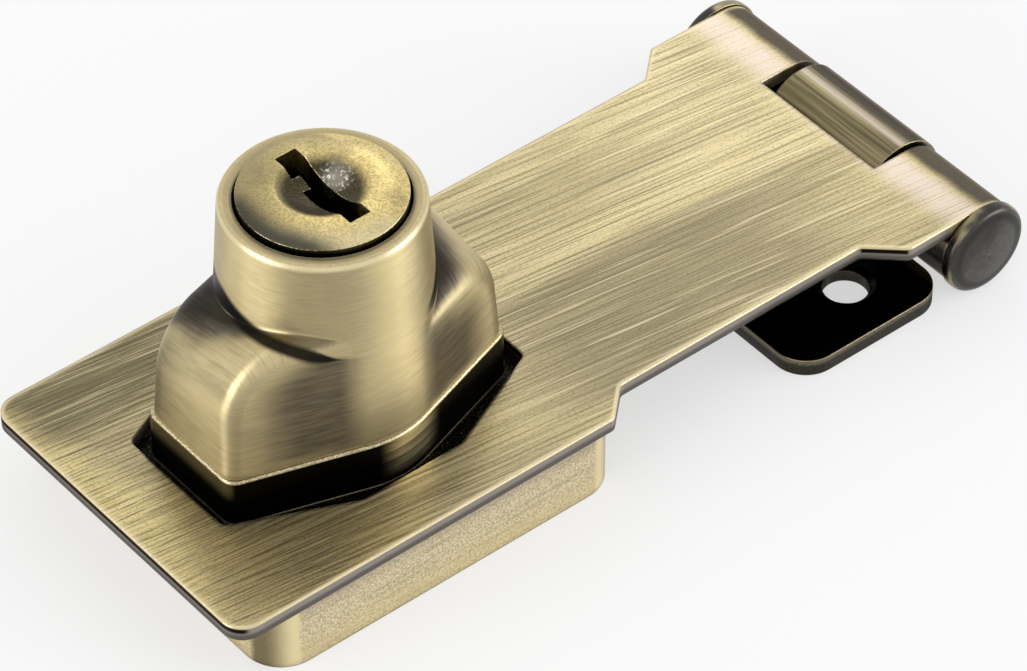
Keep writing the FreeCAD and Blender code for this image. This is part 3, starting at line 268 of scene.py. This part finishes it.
def strap_finish():
    """Antique brass sheet, brushed along its length."""
    f = Finish("brushed_antique_brass", anisotropy=0.6)
    lines = f.hairs(along=80.0, across=3800.0, turn=BRUSHING)
    strokes = f.hairs(along=240.0, across=3400.0, turn=BRUSHING - 0.5)
    cuts = f.noise((70.0, 3900.0, 70.0), BRUSHING, detail=1.0, roughness=0.6)
    glints = f.noise((80.0, 4500.0, 80.0), BRUSHING + 0.6, detail=1.0)
    haze = f.noise((14.0, 190.0, 14.0), BRUSHING, detail=2.0)
    grain = f.noise((3600.0, 5200.0, 3600.0), BRUSHING, detail=1.0)
    dull, clear = tone(182, 168, 128), tone(204, 189, 144)
    colour = f.mix(f.step(haze, 0.38, 0.6), dull, clear)

    # Painted shade lies heavier on the near half and on the corners of the free end.
    near_shade, corner_shade = tone(144, 133, 105), tone(112, 104, 80)
    sway = f.wander(haze, 14 * MM)
    across = f.plus(f.y, sway)
    near = f.times(f.band(across, -15 * MM, -12 * MM, -4 * MM, 3 * MM),
                   f.band(f.x, 8 * MM, 20 * MM, 36 * MM, 52 * MM))
    colour = f.cover(colour, near_shade, near, strength=0.82)
    corner = f.times(f.step(across, 7 * MM, 11 * MM), f.step(f.x, 6 * MM, -8 * MM))
    colour = f.cover(colour, corner_shade, corner, strength=0.7)

    # Painted highlights brighten the free end and the hinge's end.
    end_highlight = tone(232, 213, 152)
    inward = f.plus(f.plus(f.x, -FREE_END), f.times(f.size(f.y), 0.28))
    end = f.step(f.plus(inward, f.times(sway, 0.3)), 6.2 * MM, 2.4 * MM)
    colour = f.cover(colour, end_highlight, end, strength=0.8)
    bright = f.times(f.step(f.x, 30 * MM, 44 * MM), f.step(across, -5 * MM, 3 * MM))
    colour = f.cover(colour, BRIGHT, bright, strength=0.4)

    # Brush strokes, fainter on the free end's painted highlight and on the curls.
    glint = tone(244, 231, 190)
    flat = f.times(f.step(f.x, FLAT_END, FLAT_END - 4 * MM), f.plus(f.times(end, -0.5), 1.0))
    colour = f.cover(colour, STREAK, f.step(lines, 0.52, 0.34), f.plus(f.times(flat, 0.45), 0.12))
    colour = f.cover(colour, STREAK, f.step(cuts, 0.55, 0.63), f.plus(f.times(flat, 0.22), 0.08))
    colour = f.cover(colour, STREAK, f.step(strokes, 0.54, 0.7), f.step(f.x, 12 * MM, -8 * MM),
                     strength=0.6)
    colour = f.cover(colour, STREAK, f.step(grain, 0.5, 0.66), strength=0.3)
    colour = f.cover(colour, glint, f.step(glints, 0.6, 0.68), f.times(flat, 0.35))

    # Curls: a pale painted highlight before the top, painted dark grey shade beyond it, and a
    # lighter painted tone round the back.
    gloss, shade, back = tone(224, 208, 201), tone(74, 67, 61), tone(122, 113, 100)
    bend = f.plus(f.x, f.times(sway, 0.12))
    curl = f.times(f.band(bend, HINGE_X - 4.6 * MM, HINGE_X - 1.8 * MM, HINGE_X - 1.2 * MM,
                          HINGE_X + 0.1 * MM), f.step(f.nz, 0.5, 0.8))
    colour = f.cover(colour, gloss, curl, f.step(lines, 0.2, 0.55), strength=0.75)
    colour = f.cover(colour, shade, f.step(bend, HINGE_X - 0.4 * MM, HINGE_X + 0.7 * MM),
                     strength=0.9)
    colour = f.cover(colour, back, f.step(f.x, HINGE_X + 1.8 * MM, HINGE_X + 2.8 * MM),
                     strength=0.7)

    # Rims of the sheet are rounded, with a painted highlight along them and along the top of the
    # cut. The free end's cut is black above.
    side = f.step(f.size(f.nz), 0.6, 0.3)
    outer = f.most(f.step(f.size(f.y), 11.6 * MM, 12.4 * MM),
                   f.step(f.x, FREE_END + 2.6 * MM, FREE_END + 1.6 * MM))
    sheet = f.step(f.x, FLAT_END, FLAT_END - 2 * MM)
    wide = f.edge_band(f.rounded(1.0 * MM), 0.9, 0.997)
    top = f.step(f.nz, 0.6, 0.9)
    colour = f.cover(colour, tone(236, 222, 182), wide, top, outer, strength=0.7)
    black = f.times(f.step(f.z, STRAP_TOP - 0.75 * MM, STRAP_TOP - 0.5 * MM),
                    f.step(f.nx, -0.3, -0.6))
    below, above = tone(98, 92, 86), tone(146, 138, 131)
    cut = f.mix(f.step(f.z, STRAP_TOP - 0.95 * MM, STRAP_TOP - 0.55 * MM), below, above)
    colour = f.cover(colour, f.mix(black, cut, NEAR_BLACK), side, sheet)
    lip = f.times(f.step(f.z, STRAP_TOP - 0.23 * MM, STRAP_TOP - 0.09 * MM), side, sheet)
    colour = f.cover(colour, BRIGHT, lip, strength=0.8)
    # The underside is dark, and corners between parts get patina with painted shade.
    colour = f.cover(colour, PATINA_AND_SHADE, f.step(f.nz, -0.5, -0.9), strength=0.85)
    colour = f.cover(colour, PATINA_AND_SHADE, f.crevice(1.4 * MM, 0.1, 0.6), strength=0.8)

    # Seen low over the sheet, the strokes scatter the light more.
    f.gloss(lines, 0.16, f.plus(f.times(f.low_view(0.42, 0.72), 0.4), 0.3))
    angle = math.radians(BRUSHING)
    f.brushed_along((math.cos(angle), -math.sin(angle), 0))
    f.bump(lines, 0.02 * MM, 0.35, f.rounded(0.4 * MM))
    return f.done(colour)


def knob_finish():
    """Satin antique brass, brushed round the grip, with painted highlights and painted shade, and
    patina on the wings' flanks and in corners.
    """
    f = Finish("satin_antique_brass", anisotropy=0.75)
    rings = f.noise((420.0, 420.0, 5000.0), detail=2.0, roughness=0.6)
    strokes = f.noise((260.0, 260.0, 4200.0), detail=2.0, roughness=0.6)
    combed = f.noise((5200.0, 240.0, 600.0), detail=3.0, roughness=0.65)
    cloud = f.noise((170.0, 170.0, 110.0), detail=2.0)
    speck = f.noise(4200.0, detail=1.0)
    wander = f.wander(cloud, 2.4 * MM)

    # Where a point lies: above a wing's top, down its slope, and out from the grip's wall.
    side = f.math("SIGN", f.x)
    span = f.size(f.x)
    upright = f.step(f.size(f.nz), 0.45, 0.2)
    above = f.plus(f.plus(f.z, -WING_TOP), f.times(f.times(side, f.y), -WING_SLOPE))
    downhill = f.times(f.times(side, f.y), -1.0)
    radius = f.length(f.x, f.y)
    wall = f.plus(f.times(f.plus(f.z, -KNOB_FOOT), -KNOB_TAPER), GRIP_RADIUS)
    out = f.minus(radius, wall)
    # The seam between the grip and a wing's top, where painted shade lies. Above 0 is the grip.
    reach = f.math("MINIMUM", f.plus(f.times(downhill, 0.24), 22.4 * MM), 22.85 * MM)
    reach = f.plus(reach, f.times(f.step(downhill, 4.5 * MM, 8.5 * MM), -2.0 * MM))
    seam = f.minus(f.plus(f.z, f.times(out, -1.2)), reach)
    wing = f.step(span, 3.4 * MM, 5.4 * MM)

    level = f.minus(1.0, upright)
    strands = f.plus(f.times(rings, upright), f.times(combed, level))
    dull, clear = tone(182, 167, 128), tone(196, 181, 139)
    colour = f.mix(f.step(strands, 0.3, 0.7), dull, clear)
    colour = f.cover(colour, OLIVE, f.step(cloud, 0.6, 0.36), strength=0.15)

    # Painted highlights run down the grip in line with the wings and across them, with painted
    # shade between them and towards the grip's foot.
    grip_highlight, between, foot = tone(236, 217, 163), tone(150, 137, 104), tone(132, 121, 94)
    diagonal = f.times(f.size(f.nx), f.size(f.ny), 2.0)
    highlight_bands = f.times(f.step(diagonal, 0.72, 0.1), upright, f.step(f.z, 13 * MM, 20 * MM))
    colour = f.cover(colour, grip_highlight, highlight_bands, strength=0.5)
    colour = f.cover(colour, between, f.step(diagonal, 0.55, 0.95), upright, strength=0.35)
    colour = f.cover(colour, foot, f.step(f.z, 16.5 * MM, 12 * MM), upright,
                     f.step(out, 0.6 * MM, 0.2 * MM), strength=0.7)

    # Painted shade dulls the wings' ends towards their low sides.
    shaded, lit = tone(96, 88, 70), tone(138, 126, 100)
    tip = f.times(f.step(f.size(f.nx), 0.6, 0.9), f.step(span, 11 * MM, 12.5 * MM))
    colour = f.cover(colour, f.mix(f.step(strokes, 0.32, 0.7), shaded, lit), tip,
                     f.step(f.plus(downhill, wander), 0.0, 5.0 * MM), strength=0.75)

    # The wings' flanks keep their patina under brush strokes, with painted shade deepening
    # downwards and on their low sides.
    shaded, lit, deepest = tone(84, 77, 63), tone(114, 104, 84), tone(62, 56, 44)
    flank = f.times(upright, f.step(f.size(f.nx), 0.52, 0.42), f.step(span, 2.2 * MM, 4.9 * MM),
                    f.step(seam, 0.2 * MM, -0.4 * MM), f.step(above, 0.1 * MM, -0.3 * MM))
    deep = f.plus(f.times(above, -1.0), f.times(f.plus(span, -8.5 * MM), -0.45))
    deep = f.plus(deep, wander)
    high_side = f.times(f.step(deep, 1.0 * MM, 4.2 * MM), f.step(downhill, 0.5 * MM, -0.5 * MM))
    low_side = f.times(f.step(deep, 0.4 * MM, 5.0 * MM), f.step(downhill, -0.5 * MM, 0.5 * MM))
    flank = f.times(flank, f.plus(high_side, low_side),
                    f.step(f.plus(span, f.times(wander, 0.6)), 13.0 * MM, 7.6 * MM),
                    f.step(f.z, KNOB_FOOT - 0.4 * MM, KNOB_FOOT + 1.1 * MM))
    colour = f.cover(colour, f.mix(f.step(strokes, 0.3, 0.72), shaded, lit), flank, strength=0.95)
    colour = f.cover(colour, deepest, flank, f.step(downhill, 2.0 * MM, 4.0 * MM), strength=0.4)

    # The wings' tops have painted shade from the seam outwards and a painted highlight at their
    # ends.
    shaded, lit, painted_glare = tone(78, 72, 64), tone(112, 104, 90), tone(226, 208, 160)
    top = f.times(f.most(f.step(f.nz, 0.3, 0.7), f.step(above, -0.1 * MM, 0.1 * MM)),
                  f.step(seam, 0.2 * MM, -0.2 * MM), wing)
    away = f.plus(out, f.times(f.y, f.step(f.x, MM, -MM), -0.35))
    strayed = f.plus(away, wander)
    colour = f.cover(colour, f.mix(f.step(combed, 0.35, 0.65), shaded, lit),
                     f.step(strayed, 2.9 * MM, 1.1 * MM), top, strength=0.9)
    colour = f.cover(colour, DARK_PATINA_AND_SHADE, f.step(strayed, 2.3 * MM, 0.1 * MM), top, strength=0.85)
    colour = f.cover(colour, painted_glare, f.step(away, 2.4 * MM, 3.6 * MM), top,
                     f.step(combed, 0.3, 0.6), strength=0.45)
    # On the high side painted shade darkens the casting's rounding down to the seam.
    colour = f.cover(colour, tone(112, 103, 80), f.step(f.nz, 0.3, 0.7),
                     f.step(seam, 0.0, 0.4 * MM), f.step(f.z, 25 * MM, 24 * MM), strength=0.85)
    # A painted black shadow line follows the seam, wider further out along the wings.
    width = f.times(f.plus(f.step(span, 4.3 * MM, 7.0 * MM), 0.08), 0.8 * MM)
    beside = f.math("DIVIDE", f.size(f.plus(seam, 0.3 * MM)), width)
    colour = f.cover(colour, tone(22, 20, 17), f.times(f.step(beside, 1.25, 0.45), wing),
                     strength=0.97)

    # Open edges are worn bright with a painted highlight, and so are the rim's two lips.
    rounded = f.rounded(0.7 * MM)
    edge = f.mix(f.step(speck, 0.4, 0.6), tone(210, 193, 147), tone(226, 210, 165))
    open_edge = f.step(out, 0.3 * MM, 1.5 * MM)
    low = f.step(f.z, KNOB_FOOT + 0.8 * MM, KNOB_FOOT + 0.3 * MM)
    colour = f.cover(colour, edge, f.edge_band(rounded, 0.88, 0.998), f.most(open_edge, low),
                     strength=0.85)
    lips = f.most(f.step(radius, 7.55 * MM, 7.75 * MM), f.step(radius, 7.15 * MM, 7.0 * MM))
    rim = f.times(f.step(f.z, KNOB_TOP - 0.6 * MM, KNOB_TOP - 0.4 * MM), lips)
    colour = f.cover(colour, tone(164, 150, 114),
                     f.step(f.z, KNOB_TOP - 0.25 * MM, KNOB_TOP - 0.05 * MM), strength=0.5)
    colour = f.cover(colour, edge, rim, strength=0.5)
    # A painted highlight lines the sharp edges of the lips.
    sharp = f.most(f.step(radius, 7.92 * MM, 8.0 * MM), f.step(radius, 7.06 * MM, 7.0 * MM))
    colour = f.cover(colour, tone(232, 218, 180), sharp,
                     f.step(f.z, KNOB_TOP - 0.45 * MM, KNOB_TOP - 0.25 * MM), strength=0.7)

    # Corners get patina and painted shade, but for the grip above the seam.
    grip = f.times(f.band(f.z, 19 * MM, 20 * MM, 25 * MM, 26 * MM),
                   f.step(seam, -0.2 * MM, 0.2 * MM))
    colour = f.cover(colour, PATINA_AND_SHADE, f.crevice(2.6 * MM, 0.3, 0.75), f.minus(1.0, grip),
                     strength=0.9)
    f.gloss(rings, 0.16, 0.34)
    f.brushed_round()
    f.bump(f.times(rings, upright), 0.012 * MM, 0.3, rounded)
    return f.done(colour)


def plug_finish():
    """Stippled brass face, with a painted grey reflection and painted shade on its outer slope,
    and painted shade over patina in the keyway and the hollow.
    """
    f = Finish("plug_brass")
    grain = f.noise(5200.0, detail=2.0, roughness=0.6)
    coarse = f.noise(3600.0, detail=3.0, roughness=0.65)
    cloud = f.noise(210.0, detail=2.0)
    radius = f.length(f.x, f.y)
    wander = f.wander(cloud, 2.2 * MM)
    dull, clear = tone(190, 171, 114), tone(234, 212, 146)
    colour = f.mix(f.step(grain, 0.36, 0.62), dull, clear)
    # Painted shade darkens the face towards one side.
    left = f.step(f.lean(0.77, -0.64), 1.0 * MM, -5.5 * MM)
    colour = f.cover(colour, tone(128, 118, 88), left, strength=0.6)
    colour = f.cover(colour, tone(134, 123, 94), f.step(cloud, 0.48, 0.34), strength=0.4)

    # The outer slope has a painted grey reflection, and painted shade darkest on one side.
    grey_reflection, slope_shade = tone(208, 198, 168), tone(64, 61, 57)
    slope = f.step(f.plus(radius, f.times(wander, 0.4)), 4.3 * MM, 6.5 * MM)
    colour = f.cover(colour, grey_reflection, slope, f.step(f.lean(-0.56, -0.83), 2.5 * MM, 5.0 * MM),
                     strength=0.5)
    colour = f.cover(colour, slope_shade, slope, f.step(f.lean(-0.98, -0.2), 3.2 * MM, 5.6 * MM),
                     strength=0.92)

    # The hollow is black with patina and painted shade, with a painted sheen and sparkle beside
    # the keyway.
    inside = f.step(radius, 3.9 * MM, 2.8 * MM)
    painted_glare = f.length(f.plus(f.x, -1.9 * MM), f.plus(f.y, -0.7 * MM))
    hollow = f.mix(f.step(grain, 0.4, 0.7), DARK_PATINA_AND_SHADE, tone(58, 54, 47))
    hollow = f.cover(hollow, tone(176, 170, 158), f.step(f.plus(painted_glare, wander), 1.5 * MM, 0.1 * MM),
                     strength=0.55)
    hollow = f.cover(hollow, tone(246, 241, 230), f.step(coarse, 0.54, 0.63),
                     f.step(painted_glare, 1.7 * MM, 0.6 * MM), strength=0.95)
    colour = f.cover(colour, hollow, inside, strength=0.93)

    # Painted shade darkens the keyway and the gap round the face downwards, and the corners.
    colour = f.cover(colour, tone(62, 55, 38),
                     f.step(f.z, KNOB_TOP - 0.75 * MM, KNOB_TOP - 1.45 * MM))
    colour = f.cover(colour, NEAR_BLACK, f.step(f.z, KNOB_TOP - 1.95 * MM, KNOB_TOP - 3.55 * MM))
    colour = f.cover(colour, NEAR_BLACK, f.crevice(0.9 * MM, 0.2, 0.7), strength=0.9)
    colour = f.cover(colour, NEAR_BLACK, f.step(radius, PLUG_RADIUS - 0.2 * MM,
                                               PLUG_RADIUS - 0.05 * MM),
                     f.step(f.size(f.nz), 0.7, 0.3), strength=0.9)
    rounded = f.rounded(0.16 * MM)
    # Edges are worn bright with a painted highlight.
    colour = f.cover(colour, BRIGHT, f.edge_band(rounded, 0.86, 0.995), f.step(coarse, 0.4, 0.6),
                     strength=0.7)
    f.gloss(grain, 0.3, f.plus(f.times(f.low_view(0.5, 0.74), 0.3), 0.16))
    f.bump(coarse, 0.05 * MM, 0.5, rounded)
    return f.done(colour)


def casting_finish():
    """Cast brass: grainy walls, painted black shade under the strap, and a painted highlight on
    the boss.
    """
    f = Finish("cast_brass")
    grain = f.noise((5200.0, 4600.0, 5200.0), detail=1.0)
    fine = f.noise(7500.0, detail=1.0)
    brush = f.noise((160.0, 160.0, 3000.0), detail=3.0)
    dull, clear = tone(182, 168, 134), tone(228, 214, 178)
    colour = f.mix(f.step(grain, 0.34, 0.62), dull, clear)
    colour = f.cover(colour, tone(150, 138, 108), f.step(brush, 0.48, 0.34), strength=0.35)
    # The walls are warm at their foot and grey towards the strap.
    colour = f.cover(colour, tone(222, 200, 140), f.step(f.z, 3.4 * MM, 0.4 * MM), strength=0.35)
    colour = f.cover(colour, tone(150, 141, 130),
                     f.step(f.z, BASE_TOP - 2.5 * MM, BASE_TOP - 0.4 * MM), strength=0.6)
    # The corners are worn smooth, with a painted highlight and painted shade across their
    # rounding.
    corner = f.times(f.step(f.size(f.nx), 0.12, 0.3), f.step(f.size(f.ny), 0.12, 0.3),
                     f.step(f.z, BASE_TOP + 0.2 * MM, BASE_TOP - 0.2 * MM))
    smooth = f.mix(f.step(f.size(f.nx), 0.35, 0.9), tone(236, 220, 172), tone(112, 101, 72))
    colour = f.cover(colour, smooth, corner, strength=0.9)

    # Painted shade blackens the casting under the strap and round the boss, with painted glints on
    # the grain's tips.
    facing_up = f.step(f.nz, 0.5, 0.8)
    hidden = f.times(f.step(f.z, BASE_TOP - 0.5 * MM, BASE_TOP - 0.2 * MM),
                     f.most(facing_up, f.step(f.z, BASE_TOP + 0.01 * MM, BASE_TOP + 0.06 * MM)))
    tips = f.times(f.step(fine, 0.56, 0.66), f.step(grain, 0.45, 0.6), facing_up)
    colour = f.cover(colour, f.mix(tips, NEAR_BLACK, tone(112, 106, 92)), hidden)

    # The boss is olive at its ends, towards the knob.
    olive = f.times(f.step(f.z, BOSS_TOP - 2.3 * MM, BOSS_TOP - 1.0 * MM),
                    f.step(f.size(f.nx), 0.6, 0.85))
    colour = f.cover(colour, tone(104, 96, 70), olive, strength=0.85)
    # Edges are worn bright with a painted highlight, a painted highlight lines the boss's top, and
    # painted shade blackens the corners.
    rounded = f.rounded(0.3 * MM)
    colour = f.cover(colour, BRASS, f.edge_band(rounded, 0.86, 0.995),
                     f.step(f.z, BASE_TOP + 0.3 * MM, BASE_TOP - 0.3 * MM), strength=0.35)
    crown = f.mix(f.step(fine, 0.42, 0.6), tone(172, 158, 120), tone(228, 213, 172))
    colour = f.cover(colour, crown, f.step(f.z, BOSS_TOP - 0.34 * MM, BOSS_TOP - 0.22 * MM),
                     strength=0.8)
    colour = f.cover(colour, NEAR_BLACK, f.crevice(1.6 * MM, 0.15, 0.7), strength=0.9)

    # A painted highlight runs down the boss's round middle, beside the strap's slot.
    boss_highlight = f.times(f.step(f.size(f.plus(f.x, -1.3 * MM)), 3.4 * MM, 0.8 * MM),
                  f.step(f.z, BASE_TOP + 0.2 * MM, BASE_TOP + 0.9 * MM),
                  f.step(f.size(f.ny), 0.8, 0.95))
    brushed = f.mix(f.step(brush, 0.35, 0.6), tone(168, 153, 112), tone(246, 231, 190))
    colour = f.cover(colour, brushed, boss_highlight, strength=0.95)
    f.gloss(grain, 0.2, 0.3)
    f.bump(grain, 0.03 * MM, 0.4, rounded)
    return f.done(colour)


def leaf_finish():
    """Black plate with brown rims, and a brushed brass knuckle with a painted highlight and
    painted shade.
    """
    f = Finish("black_plate_leaf", anisotropy=0.4)
    lines = f.noise((3900.0, 60.0, 3900.0), detail=2.0, roughness=0.7)
    cuts = f.noise((2300.0, 45.0, 2300.0), detail=3.0)
    dull, clear = tone(98, 90, 66), tone(146, 134, 100)
    colour = f.mix(f.step(lines, 0.34, 0.66), dull, clear)
    colour = f.cover(colour, STREAK, f.step(cuts, 0.54, 0.66), strength=0.6)
    # The knuckle has a painted highlight before its top, painted shade beyond it and a lighter
    # painted tone round the back.
    gloss, shade, back = tone(216, 202, 192), tone(74, 66, 58), tone(136, 126, 108)
    curl = f.times(f.band(f.x, HINGE_X - 0.5 * MM, HINGE_X + 0.2 * MM, HINGE_X + 0.3 * MM,
                          HINGE_X + 0.8 * MM), f.step(f.nz, 0.5, 0.8))
    colour = f.cover(colour, gloss, curl, strength=0.4)
    colour = f.cover(colour, shade, f.step(f.x, HINGE_X + 0.7 * MM, HINGE_X + 1.2 * MM),
                     strength=0.9)
    colour = f.cover(colour, back, f.step(f.x, HINGE_X + 2.0 * MM, HINGE_X + 2.8 * MM),
                     strength=0.8)

    plate = f.step(f.x, HINGE_X - 3.2 * MM, HINGE_X - 4.6 * MM)
    colour = f.cover(colour, NEAR_BLACK, plate)
    rim = f.mix(f.step(f.z, 0.9 * MM, 1.3 * MM), tone(58, 54, 47), tone(112, 105, 88))
    colour = f.cover(colour, rim, plate, f.step(f.size(f.nz), 0.5, 0.2),
                     f.step(lines, 0.2, 0.5))
    rounded = f.rounded(0.2 * MM)
    # Edges are worn bright with a painted highlight, and corners get painted shade.
    colour = f.cover(colour, BRASS, f.edge_band(rounded, 0.86, 0.995), strength=0.6)
    colour = f.cover(colour, NEAR_BLACK, f.crevice(1.5 * MM, 0.15, 0.7), strength=0.85)
    f.gloss(lines, 0.14, f.plus(f.times(f.low_view(0.45, 0.74), 0.4), 0.24))
    f.brushed_along((0.03, 1, 0.03))
    f.bump(lines, 0.015 * MM, 0.3, rounded)
    return f.done(colour)


def pin_finish():
    """Dark bronze, with painted shade, a ring and a bright edge of wear and painted highlight on
    the heads.
    """
    f = Finish("dark_bronze_pin")
    grain = f.noise(2600.0, detail=3.0, roughness=0.6)
    cloud = f.noise(260.0, detail=2.0)
    colour = f.mix(f.step(grain, 0.3, 0.7), tone(82, 80, 77), tone(98, 95, 91))
    colour = f.cover(colour, PATINA_AND_SHADE, f.step(cloud, 0.5, 0.3), strength=0.3)
    height = f.plus(f.z, -HINGE_Z)
    run = f.plus(f.x, -HINGE_X)
    radius = f.length(run, height)
    # Painted shade darkens the heads towards the top, a dark ring lies round them, and wear with a
    # painted highlight brightens their edge.
    colour = f.cover(colour, tone(52, 49, 46),
                     f.step(f.plus(height, f.times(run, -0.6)), -0.5 * MM, 2.6 * MM), strength=0.6)
    colour = f.cover(colour, tone(50, 47, 43),
                     f.band(radius, 2.7 * MM, 3.2 * MM, 3.4 * MM, 3.8 * MM), strength=0.7)
    colour = f.cover(colour, tone(168, 156, 122),
                     f.step(radius, PIN_HEAD_RADIUS - 0.24 * MM, PIN_HEAD_RADIUS - 0.1 * MM),
                     f.step(cloud, 0.42, 0.56), strength=0.7)
    rounded = f.rounded(0.25 * MM)
    # Edges are worn bright with a painted highlight, and corners get painted shade.
    colour = f.cover(colour, tone(176, 162, 122), f.edge_band(rounded, 0.86, 0.995), strength=0.5)
    colour = f.cover(colour, NEAR_BLACK, f.crevice(1.2 * MM, 0.2, 0.7), strength=0.8)
    f.gloss(grain, 0.12, 0.28)
    f.bump(grain, 0.012 * MM, 0.3, rounded)
    return f.done(colour)


def inner_finish(name, light, dark, across):
    """Plated, stamped or cast metal of the pieces inside."""
    f = Finish(name)
    grain = f.noise((across, across * 0.3, across), detail=4.0, roughness=0.65)
    colour = f.mix(f.step(grain, 0.3, 0.68), dark, light)
    rounded = f.rounded(0.08 * MM)
    # Edges are worn light, and corners get patina with painted shade.
    colour = f.cover(colour, light, f.edge_band(rounded, 0.86, 0.995), strength=0.5)
    colour = f.cover(colour, PATINA_AND_SHADE, f.crevice(1.0 * MM, 0.2, 0.8), strength=0.7)
    f.gloss(grain, 0.15, 0.25)
    f.bump(grain, 0.01 * MM, 0.3, rounded)
    return f.done(colour)


finishes = {
    "hasp_strap": strap_finish(),
    "knob_body": knob_finish(),
    "lock_plug": plug_finish(),
    "base_casting": casting_finish(),
    "hinge_leaf": leaf_finish(),
    "hinge_pin": pin_finish(),
}
plated = inner_finish("plated_steel", tone(196, 197, 194), tone(150, 150, 146), 4000.0)
stamped = inner_finish("stamped_brass", tone(216, 188, 120), tone(168, 142, 84), 5000.0)
finishes["bolt_guide"] = inner_finish("cast_brass_inside", tone(200, 180, 128),
                                      tone(150, 134, 92), 3000.0)
for name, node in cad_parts.items():
    is_wafer = name.startswith("wafer_") and "spring" not in name
    finish = finishes.get(name, stamped if is_wafer else plated)
    node.data.materials.clear()
    node.data.materials.append(finish)


def add_node(nodes, kind, **inputs):
    """A new node, with the given values on its inputs."""
    node = nodes.new(kind)
    for name, value in inputs.items():
        node.inputs[name].default_value = value
    return node


def seen_share(nodes, links):
    """1 for what the camera sees, in gloss and through glass too, and 0 for what only lights."""
    path = nodes.new("ShaderNodeLightPath")
    share = path.outputs["Is Camera Ray"]
    for ray in ("Is Glossy Ray", "Is Transmission Ray"):
        either = nodes.new("ShaderNodeMath")
        either.operation = "MAXIMUM"
        links.new(share, either.inputs[0])
        links.new(path.outputs[ray], either.inputs[1])
        share = either.outputs[0]
    return share


def join(nodes, links, share, lighting, seen, output):
    """Mix the shader that lights and the shader that is seen, by the second's share."""
    both = nodes.new("ShaderNodeMixShader")
    links.new(share, both.inputs["Fac"])
    links.new(lighting.outputs[0], both.inputs[1])
    links.new(seen.outputs[0], both.inputs[2])
    links.new(both.outputs[0], output.inputs["Surface"])


def make_floor(half=3.0, grey=0.86, lift=0.6):
    """Plain pale floor. What the camera and the metal see of it is lifted towards white."""
    data = bpy.data.meshes.new("floor")
    low = cad_box[0][2]
    corners = [(-half, -half, low), (half, -half, low), (half, half, low), (-half, half, low)]
    data.from_pydata(corners, [], [(0, 1, 2, 3)])
    floor = bpy.data.objects.new("floor", data)
    bpy.context.scene.collection.objects.link(floor)
    material = bpy.data.materials.new("pale_floor")
    material.use_nodes = True
    nodes, links = material.node_tree.nodes, material.node_tree.links
    nodes.clear()
    output = nodes.new("ShaderNodeOutputMaterial")
    matt = add_node(nodes, "ShaderNodeBsdfDiffuse", Color=(grey, grey, grey, 1))
    glow = add_node(nodes, "ShaderNodeEmission", Color=WHITE, Strength=1.0)
    lifted = nodes.new("ShaderNodeMath")
    lifted.operation = "MULTIPLY"
    lifted.inputs[1].default_value = lift
    links.new(seen_share(nodes, links), lifted.inputs[0])
    join(nodes, links, lifted.outputs[0], matt, glow, output)
    data.materials.append(material)


def make_world(lighting=0.9, seen=1.0):
    """White studio that the camera sees a little brighter than it lights."""
    world = bpy.data.worlds.new("studio")
    world.use_nodes = True
    nodes, links = world.node_tree.nodes, world.node_tree.links
    nodes.clear()
    output = nodes.new("ShaderNodeOutputWorld")
    fill = add_node(nodes, "ShaderNodeBackground", Color=WHITE, Strength=lighting)
    backdrop = add_node(nodes, "ShaderNodeBackground", Color=WHITE, Strength=seen)
    join(nodes, links, seen_share(nodes, links), fill, backdrop, output)
    bpy.context.scene.world = world


def add_lamp(name, place, aim, size, power):
    data = bpy.data.lights.new(name, "AREA")
    data.shape = "RECTANGLE"
    data.size, data.size_y = size
    data.energy = power
    lamp = bpy.data.objects.new(name, data)
    bpy.context.scene.collection.objects.link(lamp)
    lamp.location = place
    lamp.rotation_euler = (Vector(aim) - Vector(place)).to_track_quat("-Z", "Y").to_euler()


# The camera as it was fitted to the photo. Lengths in pixels are the photo's, the others in mm.
AZIMUTH, ELEVATION = math.radians(-39.398), math.radians(43.326)
PHOTO_WIDTH = 1027.0
FOCAL_LENGTH = 5551.0
SENSOR_WIDTH = 36.0
AIM = (16.15, 0, 7.11)
DISTANCE = 444.4
ASIDE, BELOW = 2.028, 1.441


def make_camera():
    back = Vector((math.sin(AZIMUTH) * math.cos(ELEVATION),
                   -math.cos(AZIMUTH) * math.cos(ELEVATION), math.sin(ELEVATION)))
    right = Vector((math.cos(AZIMUTH), math.sin(AZIMUTH), 0))
    up = back.cross(right)
    data = bpy.data.cameras.new("camera")
    data.sensor_fit = "HORIZONTAL"
    data.sensor_width = SENSOR_WIDTH
    data.lens = FOCAL_LENGTH / PHOTO_WIDTH * SENSOR_WIDTH
    data.clip_start, data.clip_end = 0.01, 20.0
    camera = bpy.data.objects.new("camera", data)
    bpy.context.scene.collection.objects.link(camera)
    place = Vector(AIM) + back * DISTANCE + right * ASIDE - up * BELOW
    turned = Matrix((right, up, back)).transposed().to_4x4()
    camera.matrix_world = Matrix.Translation(place * MM) @ turned
    bpy.context.scene.camera = camera


make_floor()
make_world()
make_camera()
middle = (0.016, 0, 0.008)
add_lamp("lamp_far", place=(0.199, 0.173, 0.205), aim=(0.047, 0.006, 0.008), size=(0.06, 0.06),
         power=0.03)
for name, place in (("lamp_left", (-0.574, 0.09, 0.12)), ("lamp_right", (0.436, -0.43, 0.12))):
    add_lamp(name, place, aim=middle, size=(0.34, 0.2), power=1.6)

bpy.context.scene.view_settings.view_transform = "Standard"
